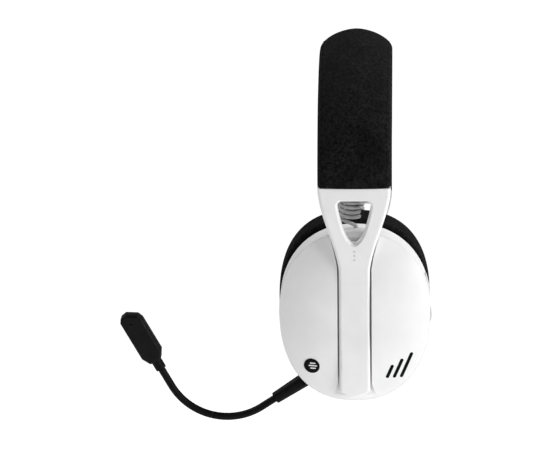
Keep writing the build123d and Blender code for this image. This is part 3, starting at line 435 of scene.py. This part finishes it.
def worked_metal(name, dark, light, roughness, stretch=(1, 1, 14)):
    """Metal with fine drawn lines and smudges."""
    surface = Surface(name, light, roughness, metallic=1.0)
    lines = surface.noise(0.6, detail=3, stretch=stretch)
    surface.tint(surface.spread(lines, 0, 1), dark, light)
    surface.uneven_gloss(surface.noise(2), 0.07, 0.1)
    surface.bump(lines, 0.01, rounding_mm=0.1)
    return surface.material


def smoked_gloss(name, dark, light, roughness):
    """Smooth black plastic with hairline scratches."""
    surface = Surface(name, dark, roughness)
    scratch = surface.noise(0.8, detail=5, stretch=(9, 1, 1))
    surface.tint(surface.spread(scratch, 0, 1, 0.5, 0.75), dark, light)
    surface.bump(scratch, 0.004, rounding_mm=0.15)
    surface.set(Specular_IOR_Level=0.06)
    return surface.material


def circuit_green(name):
    """Solder mask with copper tracks that show through as lighter lines."""
    surface = Surface(name, (0.01, 0.09, 0.04), 0.35)
    cells = surface.add("ShaderNodeTexVoronoi", feature="DISTANCE_TO_EDGE")
    cells.inputs["Scale"].default_value = 1 / (3.0 * MM)
    cells.inputs["Randomness"].default_value = 0.4
    surface.feed(cells.inputs["Vector"], surface.place)
    track = surface.spread(cells.outputs["Distance"], 1, 0, 0.04, 0.08)
    surface.tint(track, (0.008, 0.07, 0.03), (0.03, 0.2, 0.08))
    surface.bump(track, 0.03)
    return surface.material


def open_foam(name):
    """Grey foam with open cells."""
    surface = Surface(name, grey(0.12), 0.95)
    cells = surface.add("ShaderNodeTexVoronoi")
    cells.inputs["Scale"].default_value = 1 / (0.8 * MM)
    surface.feed(cells.inputs["Vector"], surface.place)
    depth = cells.outputs["Distance"]
    surface.tint(surface.spread(depth, 0, 1, 0.1, 0.6), grey(0.04), grey(0.16))
    surface.bump(depth, 0.3)
    return surface.material


def frosted_lens(name):
    """A milky light window."""
    surface = Surface(name, (0.75, 0.78, 0.8), 0.5)
    haze = surface.noise(0.5)
    surface.tint(surface.spread(haze, 0, 1), (0.6, 0.63, 0.66), (0.8, 0.83, 0.85))
    surface.bump(haze, 0.01)
    surface.set(Transmission_Weight=0.3)
    return surface.material


def make_materials():
    """One material for each slot of the record."""
    return {
        "band_fabric": woven_fabric("band_fabric", grey(0.0015), grey(0.024), 0.9, 0.45),
        "cushion_fabric": woven_fabric("cushion_fabric", grey(0.0015), grey(0.024), 0.9, 0.4),
        "ear_cloth": knit_mesh("ear_cloth"),
        "foam": open_foam("foam"),
        "white_shell": moulded_plastic("white_shell", grey(0.80), grey(0.84), 0.42),
        # The white_ring slot is the same white plastic as white_shell, painted brighter: painted light for the
        # strong light that falls on these parts.
        "white_ring": moulded_plastic("white_ring", grey(0.88), grey(0.92), 0.4),
        "black_plastic": moulded_plastic("black_plastic", grey(0.012), grey(0.02), 0.5, 0.03),
        "slide_plastic": moulded_plastic("slide_plastic", grey(0.025), grey(0.035), 0.35),
        "control_grey": moulded_plastic("control_grey", grey(0.56), grey(0.64), 0.45, 0.02),
        "switch_black": moulded_plastic("switch_black", grey(0.02), grey(0.03), 0.5),
        "port_black": moulded_plastic("port_black", grey(0.012), grey(0.02), 0.4),
        "mic_shell": moulded_plastic("mic_shell", grey(0.003), grey(0.006), 0.45, 0.03, 0.3, 0.1),
        "mic_shell_back": moulded_plastic("mic_shell_back", grey(0.006), grey(0.01), 0.4, 0.03, 0.3, 0.4),
        "battery_wrap": moulded_plastic("battery_wrap", grey(0.3), grey(0.36), 0.35, 0.05),
        "diaphragm_film": moulded_plastic("diaphragm_film", (0.5, 0.45, 0.33), (0.62, 0.57, 0.42), 0.25),
        "light_bar": smoked_gloss("light_bar", grey(0.002), grey(0.006), 0.35),
        "badge_black": smoked_gloss("badge_black", grey(0.002), grey(0.006), 0.35),
        "grey_lead": soft_rubber("grey_lead", grey(0.3), grey(0.4), 0.42),
        "boom_rubber": soft_rubber("boom_rubber", grey(0.003), grey(0.006), 0.5, 0.07),
        "spring_steel": worked_metal("spring_steel", grey(0.35), grey(0.5), 0.3),
        "screw_steel": worked_metal("screw_steel", grey(0.12), grey(0.2), 0.4),
        "driver_steel": worked_metal("driver_steel", grey(0.4), grey(0.52), 0.3),
        "port_steel": worked_metal("port_steel", grey(0.5), grey(0.62), 0.25),
        "capsule_steel": worked_metal("capsule_steel", grey(0.04), grey(0.07), 0.5),
        "plug_metal": worked_metal("plug_metal", (0.55, 0.42, 0.17), (0.75, 0.6, 0.28), 0.25),
        "circuit_board": circuit_green("circuit_board"),
        "status_lens": frosted_lens("status_lens"),
    }


MATERIALS = make_materials()


def finish_with(obj, slot):
    """Give a new piece one of the record's finishes."""
    obj.data.materials.clear()
    obj.data.materials.append(MATERIALS[slot])
    return obj


def paint_cad_nodes():
    """Put the procedural materials on the CAD nodes that stay."""
    for part in frame["record"]["subparts"]:
        node = frame["nodes"][part["node"]]
        node.data.materials.clear()
        node.data.materials.append(MATERIALS[part["material_slot"]])


paint_cad_nodes()


# ------------------------------------------------------------------ camera

CAMERA_DISTANCE = 1.560
CAMERA_TURN = math.radians(2.6)
CAMERA_HEIGHT = -0.0871
CAMERA_SHIFT = 0.0452
CAMERA_LENS = 184.6


def make_camera():
    """A long lens level with the cups, a little behind the wearer's left ear."""
    camera = bpy.data.objects.new("camera", bpy.data.cameras.new("camera"))
    bpy.context.scene.collection.objects.link(camera)
    camera.data.lens = CAMERA_LENS
    camera.data.clip_start = 0.05
    camera.data.clip_end = 60
    toward = Vector((-math.cos(CAMERA_TURN), -math.sin(CAMERA_TURN), 0))
    right = Vector((-math.sin(CAMERA_TURN), math.cos(CAMERA_TURN), 0))
    camera.location = -toward * CAMERA_DISTANCE - right * CAMERA_SHIFT + Vector((0, 0, CAMERA_HEIGHT))
    camera.rotation_euler = toward.to_track_quat("-Z", "Y").to_euler()
    bpy.context.scene.camera = camera


make_camera()


# ------------------------------------------------------------------ curly leads

COIL_ACROSS = -2.3
COIL_LEVEL = -4.6
COIL_RADIUS = 4.75
COIL_TOP = 64.5
COIL_BOTTOM = 52.6
COIL_TURNS = 4.25
COIL_STEPS = 14
WIRE_RADIUS = 1.0
LEAD_HOLE = (1.2, 45.4, -8.0)


def coil_route(side):
    """Control points of the curly lead, from the yoke's inner cover down into the cup."""
    swell = COIL_RADIUS / math.cos(math.pi / COIL_STEPS)
    first = math.pi * (1 + 2 * COIL_TURNS)
    points = [(COIL_ACROSS + across, COIL_TOP + up, COIL_LEVEL) for across, up in ((0.6, 3.6), (1.4, 1.6))]
    steps = round(COIL_TURNS * COIL_STEPS)
    for step in range(steps + 1):
        share = step / steps
        angle = first - 2 * math.pi * COIL_TURNS * share
        height = COIL_TOP - 1.0 + (COIL_BOTTOM - COIL_TOP + 1.0) * share
        points.append((COIL_ACROSS + swell * math.cos(angle), height, COIL_LEVEL + swell * math.sin(angle)))
    points += [(-6.4, 51.3, -6.6), (-3.2, 49.7, -7.6), (0.1, 48.2, -8.0), (1.2, 47.0, -8.0), LEAD_HOLE]
    return [cup_point(*point, side) for point in points]


def spline_points(name, route, resolution=4):
    """Points read from the NURBS spline that has the route as its control points."""
    curve = bpy.data.curves.new(name, "CURVE")
    curve.dimensions = "3D"
    curve.resolution_u = resolution
    spline = curve.splines.new("NURBS")
    spline.points.add(len(route) - 1)
    for point, place in zip(spline.points, route):
        point.co = (*place, 1)
    spline.order_u = 3
    spline.use_endpoint_u = True
    holder = bpy.data.objects.new(name, curve)
    bpy.context.scene.collection.objects.link(holder)
    bpy.context.view_layer.update()
    mesh = bpy.data.meshes.new_from_object(holder)
    points = [v.co.copy() for v in mesh.vertices]
    bpy.data.objects.remove(holder)
    return points


def tube(name, path, radius, sides=16):
    """A closed round tube along a path, in metres."""
    count = len(path)
    tangents = []
    for i in range(count):
        before, after = path[max(i - 1, 0)], path[min(i + 1, count - 1)]
        tangents.append((after - before).normalized())
    side = tangents[0].orthogonal().normalized()
    vertices = []
    for point, tangent in zip(path, tangents):
        side = (side - tangent * side.dot(tangent)).normalized()
        other = tangent.cross(side)
        for step in range(sides):
            angle = 2 * math.pi * step / sides
            vertices.append(point + side * (radius * math.cos(angle)) + other * (radius * math.sin(angle)))
    faces = ring_faces(count, sides)
    faces.append(tuple(reversed(range(sides))))
    faces.append(tuple(range((count - 1) * sides, count * sides)))
    return mesh_object(name, vertices, faces)


def coiled_lead(side):
    """The curly lead in the yoke's window, as one fixed tube in its rest shape."""
    path = spline_points(f"{side}_coil_route", coil_route(side))
    lead = tube(f"{side}_curly_lead", path, WIRE_RADIUS * MM)
    finish_with(lead, "grey_lead")
    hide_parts(f"{side}_coiled_lead")
    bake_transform(lead)


for cup_side in ("left", "right"):
    coiled_lead(cup_side)


# ------------------------------------------------------------------ headband

BAND_ROWS = 150
OUTER_COLUMNS = 26
INNER_COLUMNS = 34
SEAM_INSET = 2.0
SLEEVE_INSET = 0.9
SLEEVE_SWELL = 0.5
SLEEVE_TAPER = 0.3
BAND_END_GAP = 0.25
BAND_GIRTH = 0.105
BAND_PRESSURE = 5.0
SEAM_END_GAP = 1.5
SEAM_STEPS = 160


def arch_radii():
    change, end = math.radians(ARCH_CHANGE), math.radians(ARCH_END)
    across_crown, across_side = math.sin(change), math.sin(end) - math.sin(change)
    down_crown, down_side = 1 - math.cos(change), math.cos(change) - math.cos(end)
    scale = across_crown * down_side - across_side * down_crown
    crown = (ARCH_HALF_SPAN * down_side - ARCH_RISE * across_side) / scale
    return crown, (ARCH_RISE * across_crown - ARCH_HALF_SPAN * down_crown) / scale


CROWN_RADIUS, SIDE_RADIUS = arch_radii()


def arch_place(turn):
    """The arch's centreline point and its outward direction, turn degrees from the crown."""
    size = math.radians(abs(turn))
    change = math.radians(ARCH_CHANGE)
    radius = CROWN_RADIUS if size <= change else SIDE_RADIUS
    shift = CROWN_RADIUS - radius
    x = shift * math.sin(change) + radius * math.sin(size)
    z = shift * math.cos(change) + radius * math.cos(size) - CROWN_RADIUS + CROWN_THICKNESS / 2
    out = Vector((math.copysign(math.sin(size), turn), 0, math.cos(size)))
    return Vector((math.copysign(x, turn), 0, z)), out


def arch_length(turn):
    """Distance along the centreline from the crown."""
    size = abs(turn)
    near, far = min(size, ARCH_CHANGE), max(0, size - ARCH_CHANGE)
    return math.copysign(math.radians(near) * CROWN_RADIUS + math.radians(far) * SIDE_RADIUS, turn)


def turn_at(distance):
    size = abs(distance)
    crown = math.radians(ARCH_CHANGE) * CROWN_RADIUS
    turn = math.degrees(min(size, crown) / CROWN_RADIUS) + math.degrees(max(0, size - crown) / SIDE_RADIUS)
    return math.copysign(turn, distance)


def band_size(turn):
    """Half width, half thickness and power of the band's section."""
    share = (1 + math.cos(math.pi * turn / ARCH_END)) / 2
    width = END_WIDTH + (CROWN_WIDTH - END_WIDTH) * share
    thickness = END_THICKNESS + (CROWN_THICKNESS - END_THICKNESS) * share
    return width / 2, thickness / 2, END_POWER + (CROWN_POWER - END_POWER) * share


def sleeve_size(turn):
    """The sleeve's section before it swells: the band's, drawn in and sharper-edged at the crown."""
    half_width, half_thickness, power = band_size(turn)
    crown_share = (1 + math.cos(math.pi * turn / ARCH_END)) / 2
    inset = SLEEVE_INSET * (1 - (1 - crown_share) ** 2)
    swell = SLEEVE_SWELL * crown_share
    return half_width - inset, half_thickness + swell, power - SLEEVE_TAPER * crown_share


def seam_angle(half_width, power):
    """The angle round the section at which a seam lies inside its edge."""
    return math.acos((1 - SEAM_INSET / half_width) ** (power / 2))


def band_ring(turn, inset):
    """One ring of the cover: the outer panel from seam to seam, then the inner panel back."""
    half_width, half_thickness, power = sleeve_size(turn)
    half_width, half_thickness = half_width - inset, half_thickness - inset
    seam = seam_angle(half_width, power)
    other = math.pi - seam
    panels = []
    for start, stop, count in ((seam, other, OUTER_COLUMNS), (other, 2 * math.pi + seam, INNER_COLUMNS)):
        angles = np.linspace(start, stop, 201)
        dense = [superellipse(half_width, half_thickness, power, angle) for angle in angles]
        panels += [tuple(p) for p in evenly(dense, count)[:-1]]
    centre, out = arch_place(turn)
    return [(centre + Vector((0, y, 0)) + out * h) * MM for y, h in panels]


def headband_mesh():
    """The fabric sleeve over its padding, drawn in at the seams and tucked in at both ends."""
    reach = arch_length(ARCH_END) - BAND_END_GAP
    columns = OUTER_COLUMNS + INNER_COLUMNS
    stations = [(-reach, 3.5), (-reach, 1.7), (-reach + 0.05, 0.5)]
    stations += [(-reach + 0.5 + (2 * reach - 1.0) * i / (BAND_ROWS - 1), 0) for i in range(BAND_ROWS)]
    stations += [(reach - 0.05, 0.5), (reach, 1.7), (reach, 3.5)]
    vertices = [point for distance, inset in stations for point in band_ring(turn_at(distance), inset)]
    rows = len(stations)
    faces = ring_faces(rows, columns)
    faces.append(tuple(reversed(range(columns))))
    faces.append(tuple(range((rows - 1) * columns, rows * columns)))
    band = mesh_object("headband_sleeve", vertices, faces)
    grid_uv(band, rows, columns, False, 2 * reach * MM, BAND_GIRTH)
    return band, rows, columns


def make_headband():
    band, rows, columns = headband_mesh()
    seams = grid_points(range(rows), (0, OUTER_COLUMNS), columns)
    ends = grid_points((*range(5), *range(rows - 5, rows)), range(columns), columns)
    inflate(band, seams + ends, BAND_PRESSURE, (rows, columns), axis=0)
    subdivide(band)
    finish_with(band, "band_fabric")
    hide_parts("headband_cover", "headband_foam")
    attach(band, "headband")


STITCH_PITCH = 0.0031
STITCH_LENGTH = 0.0022
THREAD_RADIUS = 0.00022


def stitch(vertices, faces, start, stop, normal, radius):
    """One short stitch: a six-sided capsule that dips into the cloth at both ends."""
    along = (stop - start).normalized()
    side = along.cross(normal).normalized()
    base = len(vertices)
    for share, lift, size in ((0, -0.8, 0.5), (0.2, -0.1, 1), (0.8, -0.1, 1), (1, -0.8, 0.5)):
        centre = start.lerp(stop, share) + normal * (radius * lift)
        for step in range(6):
            angle = math.pi * step / 3
            across, above = radius * size * math.cos(angle), radius * size * math.sin(angle)
            vertices.append(centre + side * across + normal * above)
    for ring in range(3):
        for step in range(6):
            following = (step + 1) % 6
            a, b = base + 6 * ring, base + 6 * (ring + 1)
            faces.append((a + step, a + following, b + following, b + step))
    faces.append(tuple(base + i for i in reversed(range(6))))
    faces.append(tuple(base + 18 + i for i in range(6)))


def seam_thread(name, points, normals):
    """A row of stitches along points, with the cloth's normal at each."""
    vertices, faces = [], []
    run = np.concatenate([[0], np.cumsum([(b - a).length for a, b in zip(points, points[1:])])])
    number = int(run[-1] / STITCH_PITCH)
    grid = np.array([list(p) for p in points])
    tilt = np.array([list(n) for n in normals])

    def at(distance, table):
        return Vector([float(np.interp(distance, run, table[:, i])) for i in range(3)])

    for index in range(number):
        middle = (index + 0.5) * STITCH_PITCH
        start, stop = at(middle - STITCH_LENGTH / 2, grid), at(middle + STITCH_LENGTH / 2, grid)
        stitch(vertices, faces, start, stop, at(middle, tilt).normalized(), THREAD_RADIUS)
    return mesh_object(name, vertices, faces)


def band_seams():
    """The two stitched seams that run the band's whole length, just inside its edges."""
    reach = arch_length(ARCH_END) - SEAM_END_GAP
    threads = []
    for sign in (-1, 1):
        points, normals = [], []
        for i in range(SEAM_STEPS + 1):
            turn = turn_at(-reach + 2 * reach * i / SEAM_STEPS)
            half_width, half_thickness, power = sleeve_size(turn)
            y, h = superellipse(half_width, half_thickness, power, seam_angle(half_width, power))
            centre, out = arch_place(turn)
            points.append((centre + Vector((0, sign * y, 0)) + out * h) * MM)
            normals.append((out + Vector((0, sign * 0.8, 0))).normalized())
        threads.append(seam_thread(f"headband_stitches_{len(threads) + 1}", points, normals))
    return threads


make_headband()
for thread in band_seams():
    finish_with(thread, "band_fabric")
    thread.data.uv_layers.new(name="weave")
    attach(thread, "headband")


# ------------------------------------------------------------------ ear cushions

CUSHION_COLUMNS = 132
# Reaches and levels of the cushion's profile: reach 0 is the ear opening, 1 the outer outline.
CUSHION_PROFILE = (
    (0.930, -18.25), (0.972, -18.5), (0.990, -20.5), (0.996, -24.0), (1.000, -28.0), (0.999, -32.0),
    (0.992, -35.5), (0.975, -38.5), (0.945, -41.0), (0.86, -42.9), (0.72, -44.4), (0.56, -45.0),
    (0.40, -44.8), (0.24, -43.9), (0.10, -42.2), (0.02, -40.0), (-0.01, -37.5), (0.0, -33.0),
    (0.01, -28.0), (0.0, -23.0), (0.0, -19.5), (0.02, -18.25),
)
CUSHION_SEAM = 9
CUSHION_ROWS = 44
CUSHION_REACH = 20.0
CUSHION_GIRTH = 0.11
CUSHION_ROUND = 0.24
CUSHION_PRESSURE = 6.0
STITCH_ANGLES = 240


def cushion_outlines(angle):
    """The ear opening's and the cushion's outline points at an angle."""
    half = CUSHION_HALF_TOP if math.sin(angle) > 0 else CUSHION_HALF_BOTTOM
    outer = superellipse(CUSHION_HALF_WIDTH, half, CUSHION_POWER, angle)
    inner = superellipse(EAR_HALF_WIDTH, EAR_HALF_HEIGHT, EAR_POWER, angle)
    return inner, (outer[0] - CUSHION_FORWARD, outer[1] + CUP_WIDEST)


def cushion_place(angle, reach):
    """Across and up in the cup's frame, at a reach between the two outlines."""
    inner, outer = cushion_outlines(angle)
    return inner[0] + (outer[0] - inner[0]) * reach, inner[1] + (outer[1] - inner[1]) * reach


def cushion_profile():
    """Even rows over the profile, with one row on the seam; returns the rows and that row."""
    before = evenly(scaled(CUSHION_PROFILE[:CUSHION_SEAM + 1]), CUSHION_ROWS // 2)
    after = evenly(scaled(CUSHION_PROFILE[CUSHION_SEAM:]), CUSHION_ROWS - CUSHION_ROWS // 2)
    rows = np.concatenate([before, after[1:]])
    return [(reach / CUSHION_REACH, level) for reach, level in rows], CUSHION_ROWS // 2


def scaled(profile):
    """The profile with its reach in millimetres, so that even spacing is even."""
    return [(reach * CUSHION_REACH, level) for reach, level in profile]


def angles_evenly(count):
    """Angles whose points lie evenly along the cushion's outline."""
    dense = [2 * math.pi * i / 720 for i in range(721)]
    middle = []
    for angle in dense:
        inner, outer = cushion_outlines(angle)
        middle.append(((inner[0] + outer[0]) / 2, (inner[1] + outer[1]) / 2, angle))
    run = np.concatenate([[0], np.cumsum([math.dist(a[:2], b[:2]) for a, b in zip(middle, middle[1:])])])
    return np.interp(np.linspace(0, run[-1], count + 1)[:-1], run, dense)


def cushion_mesh():
    """The cushion's closed skin in the left cup's place."""
    rows, seam = cushion_profile()
    angles = angles_evenly(CUSHION_COLUMNS)
    vertices = []
    for reach, level in rows:
        for angle in angles:
            vertices.append(cup_point(*cushion_place(angle, reach), level))
    count = len(rows)
    faces = ring_faces(count, CUSHION_COLUMNS, closed_rows=True)
    cushion = mesh_object("left_cushion", vertices, [tuple(reversed(face)) for face in faces])
    grid_uv(cushion, count, CUSHION_COLUMNS, True, CUSHION_GIRTH, CUSHION_ROUND)
    return cushion, count, seam


def make_cushions():
    cushion, rows, seam = cushion_mesh()
    columns = CUSHION_COLUMNS
    pinned = grid_points((0, 1, seam, rows - 2, rows - 1), range(columns), columns)
    inflate(cushion, pinned, CUSHION_PRESSURE, (rows, columns), axis=1)
    subdivide(cushion)
    other = mirrored_copy(cushion, "right_cushion")
    for side, obj in (("left", cushion), ("right", other)):
        finish_with(obj, "cushion_fabric")
        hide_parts(f"{side}_cushion_cover", f"{side}_cushion_foam")
        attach(obj, f"{side}_cup")


def cushion_seams():
    """Stitches along the seam between the cushion's side and its front."""
    reach, level = CUSHION_PROFILE[CUSHION_SEAM]
    points, normals = [], []
    for angle in [*angles_evenly(STITCH_ANGLES), 2 * math.pi]:
        across, up = cushion_place(angle, reach)
        points.append(cup_point(across, up, level))
        away = Vector((across, up - CUP_WIDEST)).normalized()
        normals.append(cup_vector(away.x, away.y, -0.9).normalized())
    left = seam_thread("left_cushion_stitches", points, normals)
    right = mirrored_copy(left, "right_cushion_stitches")
    for side, obj in (("left", left), ("right", right)):
        obj.data.uv_layers.new(name="weave")
        finish_with(obj, "cushion_fabric")
        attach(obj, f"{side}_cup")


make_cushions()
cushion_seams()


# ------------------------------------------------------------------ printed marks

YOKE_FACE = 8.4
DOT_LEVELS = (33.4, 35.7, 38.0)
DOT_RADIUS = 0.55
DOT_FLOOR = 0.15
MARK_LENGTHS = (3.0, 4.6, 3.0)
MARK_PITCH = 1.5
MARK_WIDTH = 0.7
MARK_PROUD = 0.06
BOX_FACES = ((3, 2, 1, 0), (4, 5, 6, 7), (0, 1, 5, 4), (1, 2, 6, 5), (2, 3, 7, 6), (3, 0, 4, 7))


def badge_face(side):
    """The centre and the outward normal of a badge's outer face, from its CAD mesh."""
    outward = CUP_OUT if side == "left" else Vector((-CUP_OUT.x, CUP_OUT.y, CUP_OUT.z))
    mesh = frame["nodes"][f"{side}_badge"].data
    middle = sum((v.co for v in mesh.vertices), Vector()) / len(mesh.vertices)
    facing = [f for f in mesh.polygons if f.normal.dot(outward) > 0.7]
    front = [f for f in facing if (f.center - middle).dot(outward) > 0]
    area = sum(f.area for f in front)
    centre = sum((f.center * f.area for f in front), Vector()) / area
    return centre, sum((f.normal * f.area for f in front), Vector()).normalized()


def badge_mark(side):
    """Three plain level bars printed on the badge."""
    centre, out = badge_face(side)
    up = (CUP_UP - out * CUP_UP.dot(out)).normalized()
    across = up.cross(out)
    vertices, faces = [], []
    for row, length in enumerate(MARK_LENGTHS):
        middle = centre + up * ((row - 1) * MARK_PITCH * MM)
        base = len(vertices)
        for height in (-MARK_PROUD, MARK_PROUD):
            for x, y in ((-1, -1), (1, -1), (1, 1), (-1, 1)):
                step = across * (x * length / 2) + up * (y * MARK_WIDTH / 2) + out * height
                vertices.append(middle + step * MM)
        faces += [tuple(base + i for i in face) for face in BOX_FACES]
    mark = mesh_object(f"{side}_badge_mark", vertices, faces, smooth=False)
    finish_with(mark, "white_shell")
    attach(mark, f"{side}_cup")


def yoke_dots(side):
    """Grey discs on the floors of the three round dimples under the yoke's window."""
    vertices, faces = [], []
    for level in DOT_LEVELS:
        base = len(vertices)
        for step in range(24):
            edge = heading(math.pi * step / 12) * DOT_RADIUS
            vertices.append(cup_point(edge.x, level + edge.y, YOKE_FACE - DOT_FLOOR, side))
        disc = range(base, base + 24)
        faces.append(tuple(disc) if side == "left" else tuple(reversed(disc)))
    dots = mesh_object(f"{side}_yoke_dots", vertices, faces, smooth=False)
    finish_with(dots, "control_grey")
    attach(dots, "headband")


for cup_side in ("left", "right"):
    badge_mark(cup_side)
    yoke_dots(cup_side)


# ------------------------------------------------------------------ boom

BOOM_ROOT = (-26.3, -37.2)
BOOM_ANGLE = math.radians(213.5)
SIDE_LEVEL = -8.0
# 0.15 mm more than in the CAD source.
GOOSENECK_RADIUS = 2.0
GOOSENECK_START = 16.7
MIC_NECK = (-106.9, -27.1)
MIC_ANGLE = math.radians(119.3)
GOOSENECK_INTO_COLLAR = 2.0
BEND_RADIUS = 34.0
ARC_STEPS = 60
RUN_STEPS = 16


def boom_point(distance):
    """A point on the line along which the boom leaves the cup."""
    return Vector(BOOM_ROOT) + heading(BOOM_ANGLE) * distance


def mic_point(distance):
    """A point on the microphone's axis, measured from its neck towards its tip."""
    return Vector(MIC_NECK) + heading(MIC_ANGLE) * distance


def gooseneck_line():
    """The gooseneck's centreline in the cup's frame: straight, one round bend, straight."""
    start, finish = boom_point(GOOSENECK_START), mic_point(-GOOSENECK_INTO_COLLAR)
    away, toward = heading(BOOM_ANGLE), heading(MIC_ANGLE)
    gap = finish - start
    cross = away.x * toward.y - away.y * toward.x
    corner = start + away * ((gap.x * toward.y - gap.y * toward.x) / cross)
    turn = math.acos(away.dot(toward))
    tangent = BEND_RADIUS * math.tan(turn / 2)
    first, last = corner - away * tangent, corner + toward * tangent
    inward = Vector((-away.y, away.x)) * math.copysign(1, cross)
    centre = first + inward * BEND_RADIUS
    swept = math.copysign(turn, cross)
    arc = [centre + rotated(first - centre, swept * i / ARC_STEPS) for i in range(ARC_STEPS + 1)]
    line = [start.lerp(first, i / RUN_STEPS) for i in range(RUN_STEPS)] + arc
    line += [last.lerp(finish, (i + 1) / RUN_STEPS) for i in range(RUN_STEPS)]
    return line


def rotated(vector, angle):
    c, s = math.cos(angle), math.sin(angle)
    return Vector((vector.x * c - vector.y * s, vector.x * s + vector.y * c))


def make_gooseneck():
    """Two halves of the gooseneck that meet halfway, each a fixed tube in the rest pose."""
    line = [cup_point(p.x, p.y, SIDE_LEVEL) for p in gooseneck_line()]
    half = len(line) // 2
    root = tube("gooseneck_root_half", line[:half + 1], GOOSENECK_RADIUS * MM, sides=24)
    tip = tube("gooseneck_tip_half", line[half:], GOOSENECK_RADIUS * MM, sides=24)
    for piece in (root, tip):
        finish_with(piece, "boom_rubber")
    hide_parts("boom_gooseneck")
    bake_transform(root)
    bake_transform(tip)


make_gooseneck()


# ------------------------------------------------------------------ floor, world and lights

FLOOR_DROP = 0.12
FLOOR_HALF = 20
FLOOR_GLOW_UNSEEN = 0.40
FLOOR_GLOW_SEEN = 0.98
WORLD_UNSEEN = 0.1
WORLD_SEEN = 1.05
LIGHT_TARGET = (0.05, 0, -0.1)


def make_stage():
    """A pale floor well below the headset, clear of its lowest pose, in a white room."""
    low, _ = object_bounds()
    height = low.z - FLOOR_DROP
    corners = [(x * FLOOR_HALF, y * FLOOR_HALF, height) for x, y in ((-1, -1), (1, -1), (1, 1), (-1, 1))]
    floor = mesh_object("floor", corners, [(0, 1, 2, 3)])
    surface = Surface("floor", grey(0.8), 0.9)
    surface.tint(surface.noise(200), grey(0.78), grey(0.82))
    surface.set(Emission_Color=(1, 1, 1, 1), Specular_IOR_Level=0.0)
    seen = surface.add("ShaderNodeLightPath").outputs["Is Camera Ray"]
    glow = surface.spread(seen, FLOOR_GLOW_UNSEEN, FLOOR_GLOW_SEEN, 0, 1)
    surface.feed(surface.shader.inputs["Emission Strength"], glow)
    floor.data.materials.append(surface.material)


def make_world():
    world = bpy.data.worlds.new("studio")
    bpy.context.scene.world = world
    world.use_nodes = True
    tree = world.node_tree
    tree.nodes.clear()
    output = tree.nodes.new("ShaderNodeOutputWorld")
    seen, unseen = tree.nodes.new("ShaderNodeBackground"), tree.nodes.new("ShaderNodeBackground")
    seen.inputs["Color"].default_value = (1, 1, 1, 1)
    seen.inputs["Strength"].default_value = WORLD_SEEN
    unseen.inputs["Color"].default_value = (1, 1, 1, 1)
    unseen.inputs["Strength"].default_value = WORLD_UNSEEN
    path, mix = tree.nodes.new("ShaderNodeLightPath"), tree.nodes.new("ShaderNodeMixShader")
    tree.links.new(path.outputs["Is Camera Ray"], mix.inputs[0])
    tree.links.new(unseen.outputs[0], mix.inputs[1])
    tree.links.new(seen.outputs[0], mix.inputs[2])
    tree.links.new(mix.outputs[0], output.inputs["Surface"])


def softbox(name, place, size, power):
    light = bpy.data.lights.new(name, "AREA")
    light.shape = "RECTANGLE"
    light.size = light.size_y = size
    light.energy = power
    lamp = bpy.data.objects.new(name, light)
    bpy.context.scene.collection.objects.link(lamp)
    lamp.location = place
    lamp.rotation_euler = (Vector(LIGHT_TARGET) - Vector(place)).to_track_quat("-Z", "Y").to_euler()


def make_lights():
    softbox("key", (0.9, 1.5, -0.05), 0.8, 21)
    softbox("top_front", (-0.1, -1.1, 1.1), 0.9, 15)
    softbox("top_back", (-0.1, 1.1, 1.1), 0.9, 15)


make_stage()
make_world()
make_lights()
bpy.context.scene.view_settings.view_transform = "Standard"
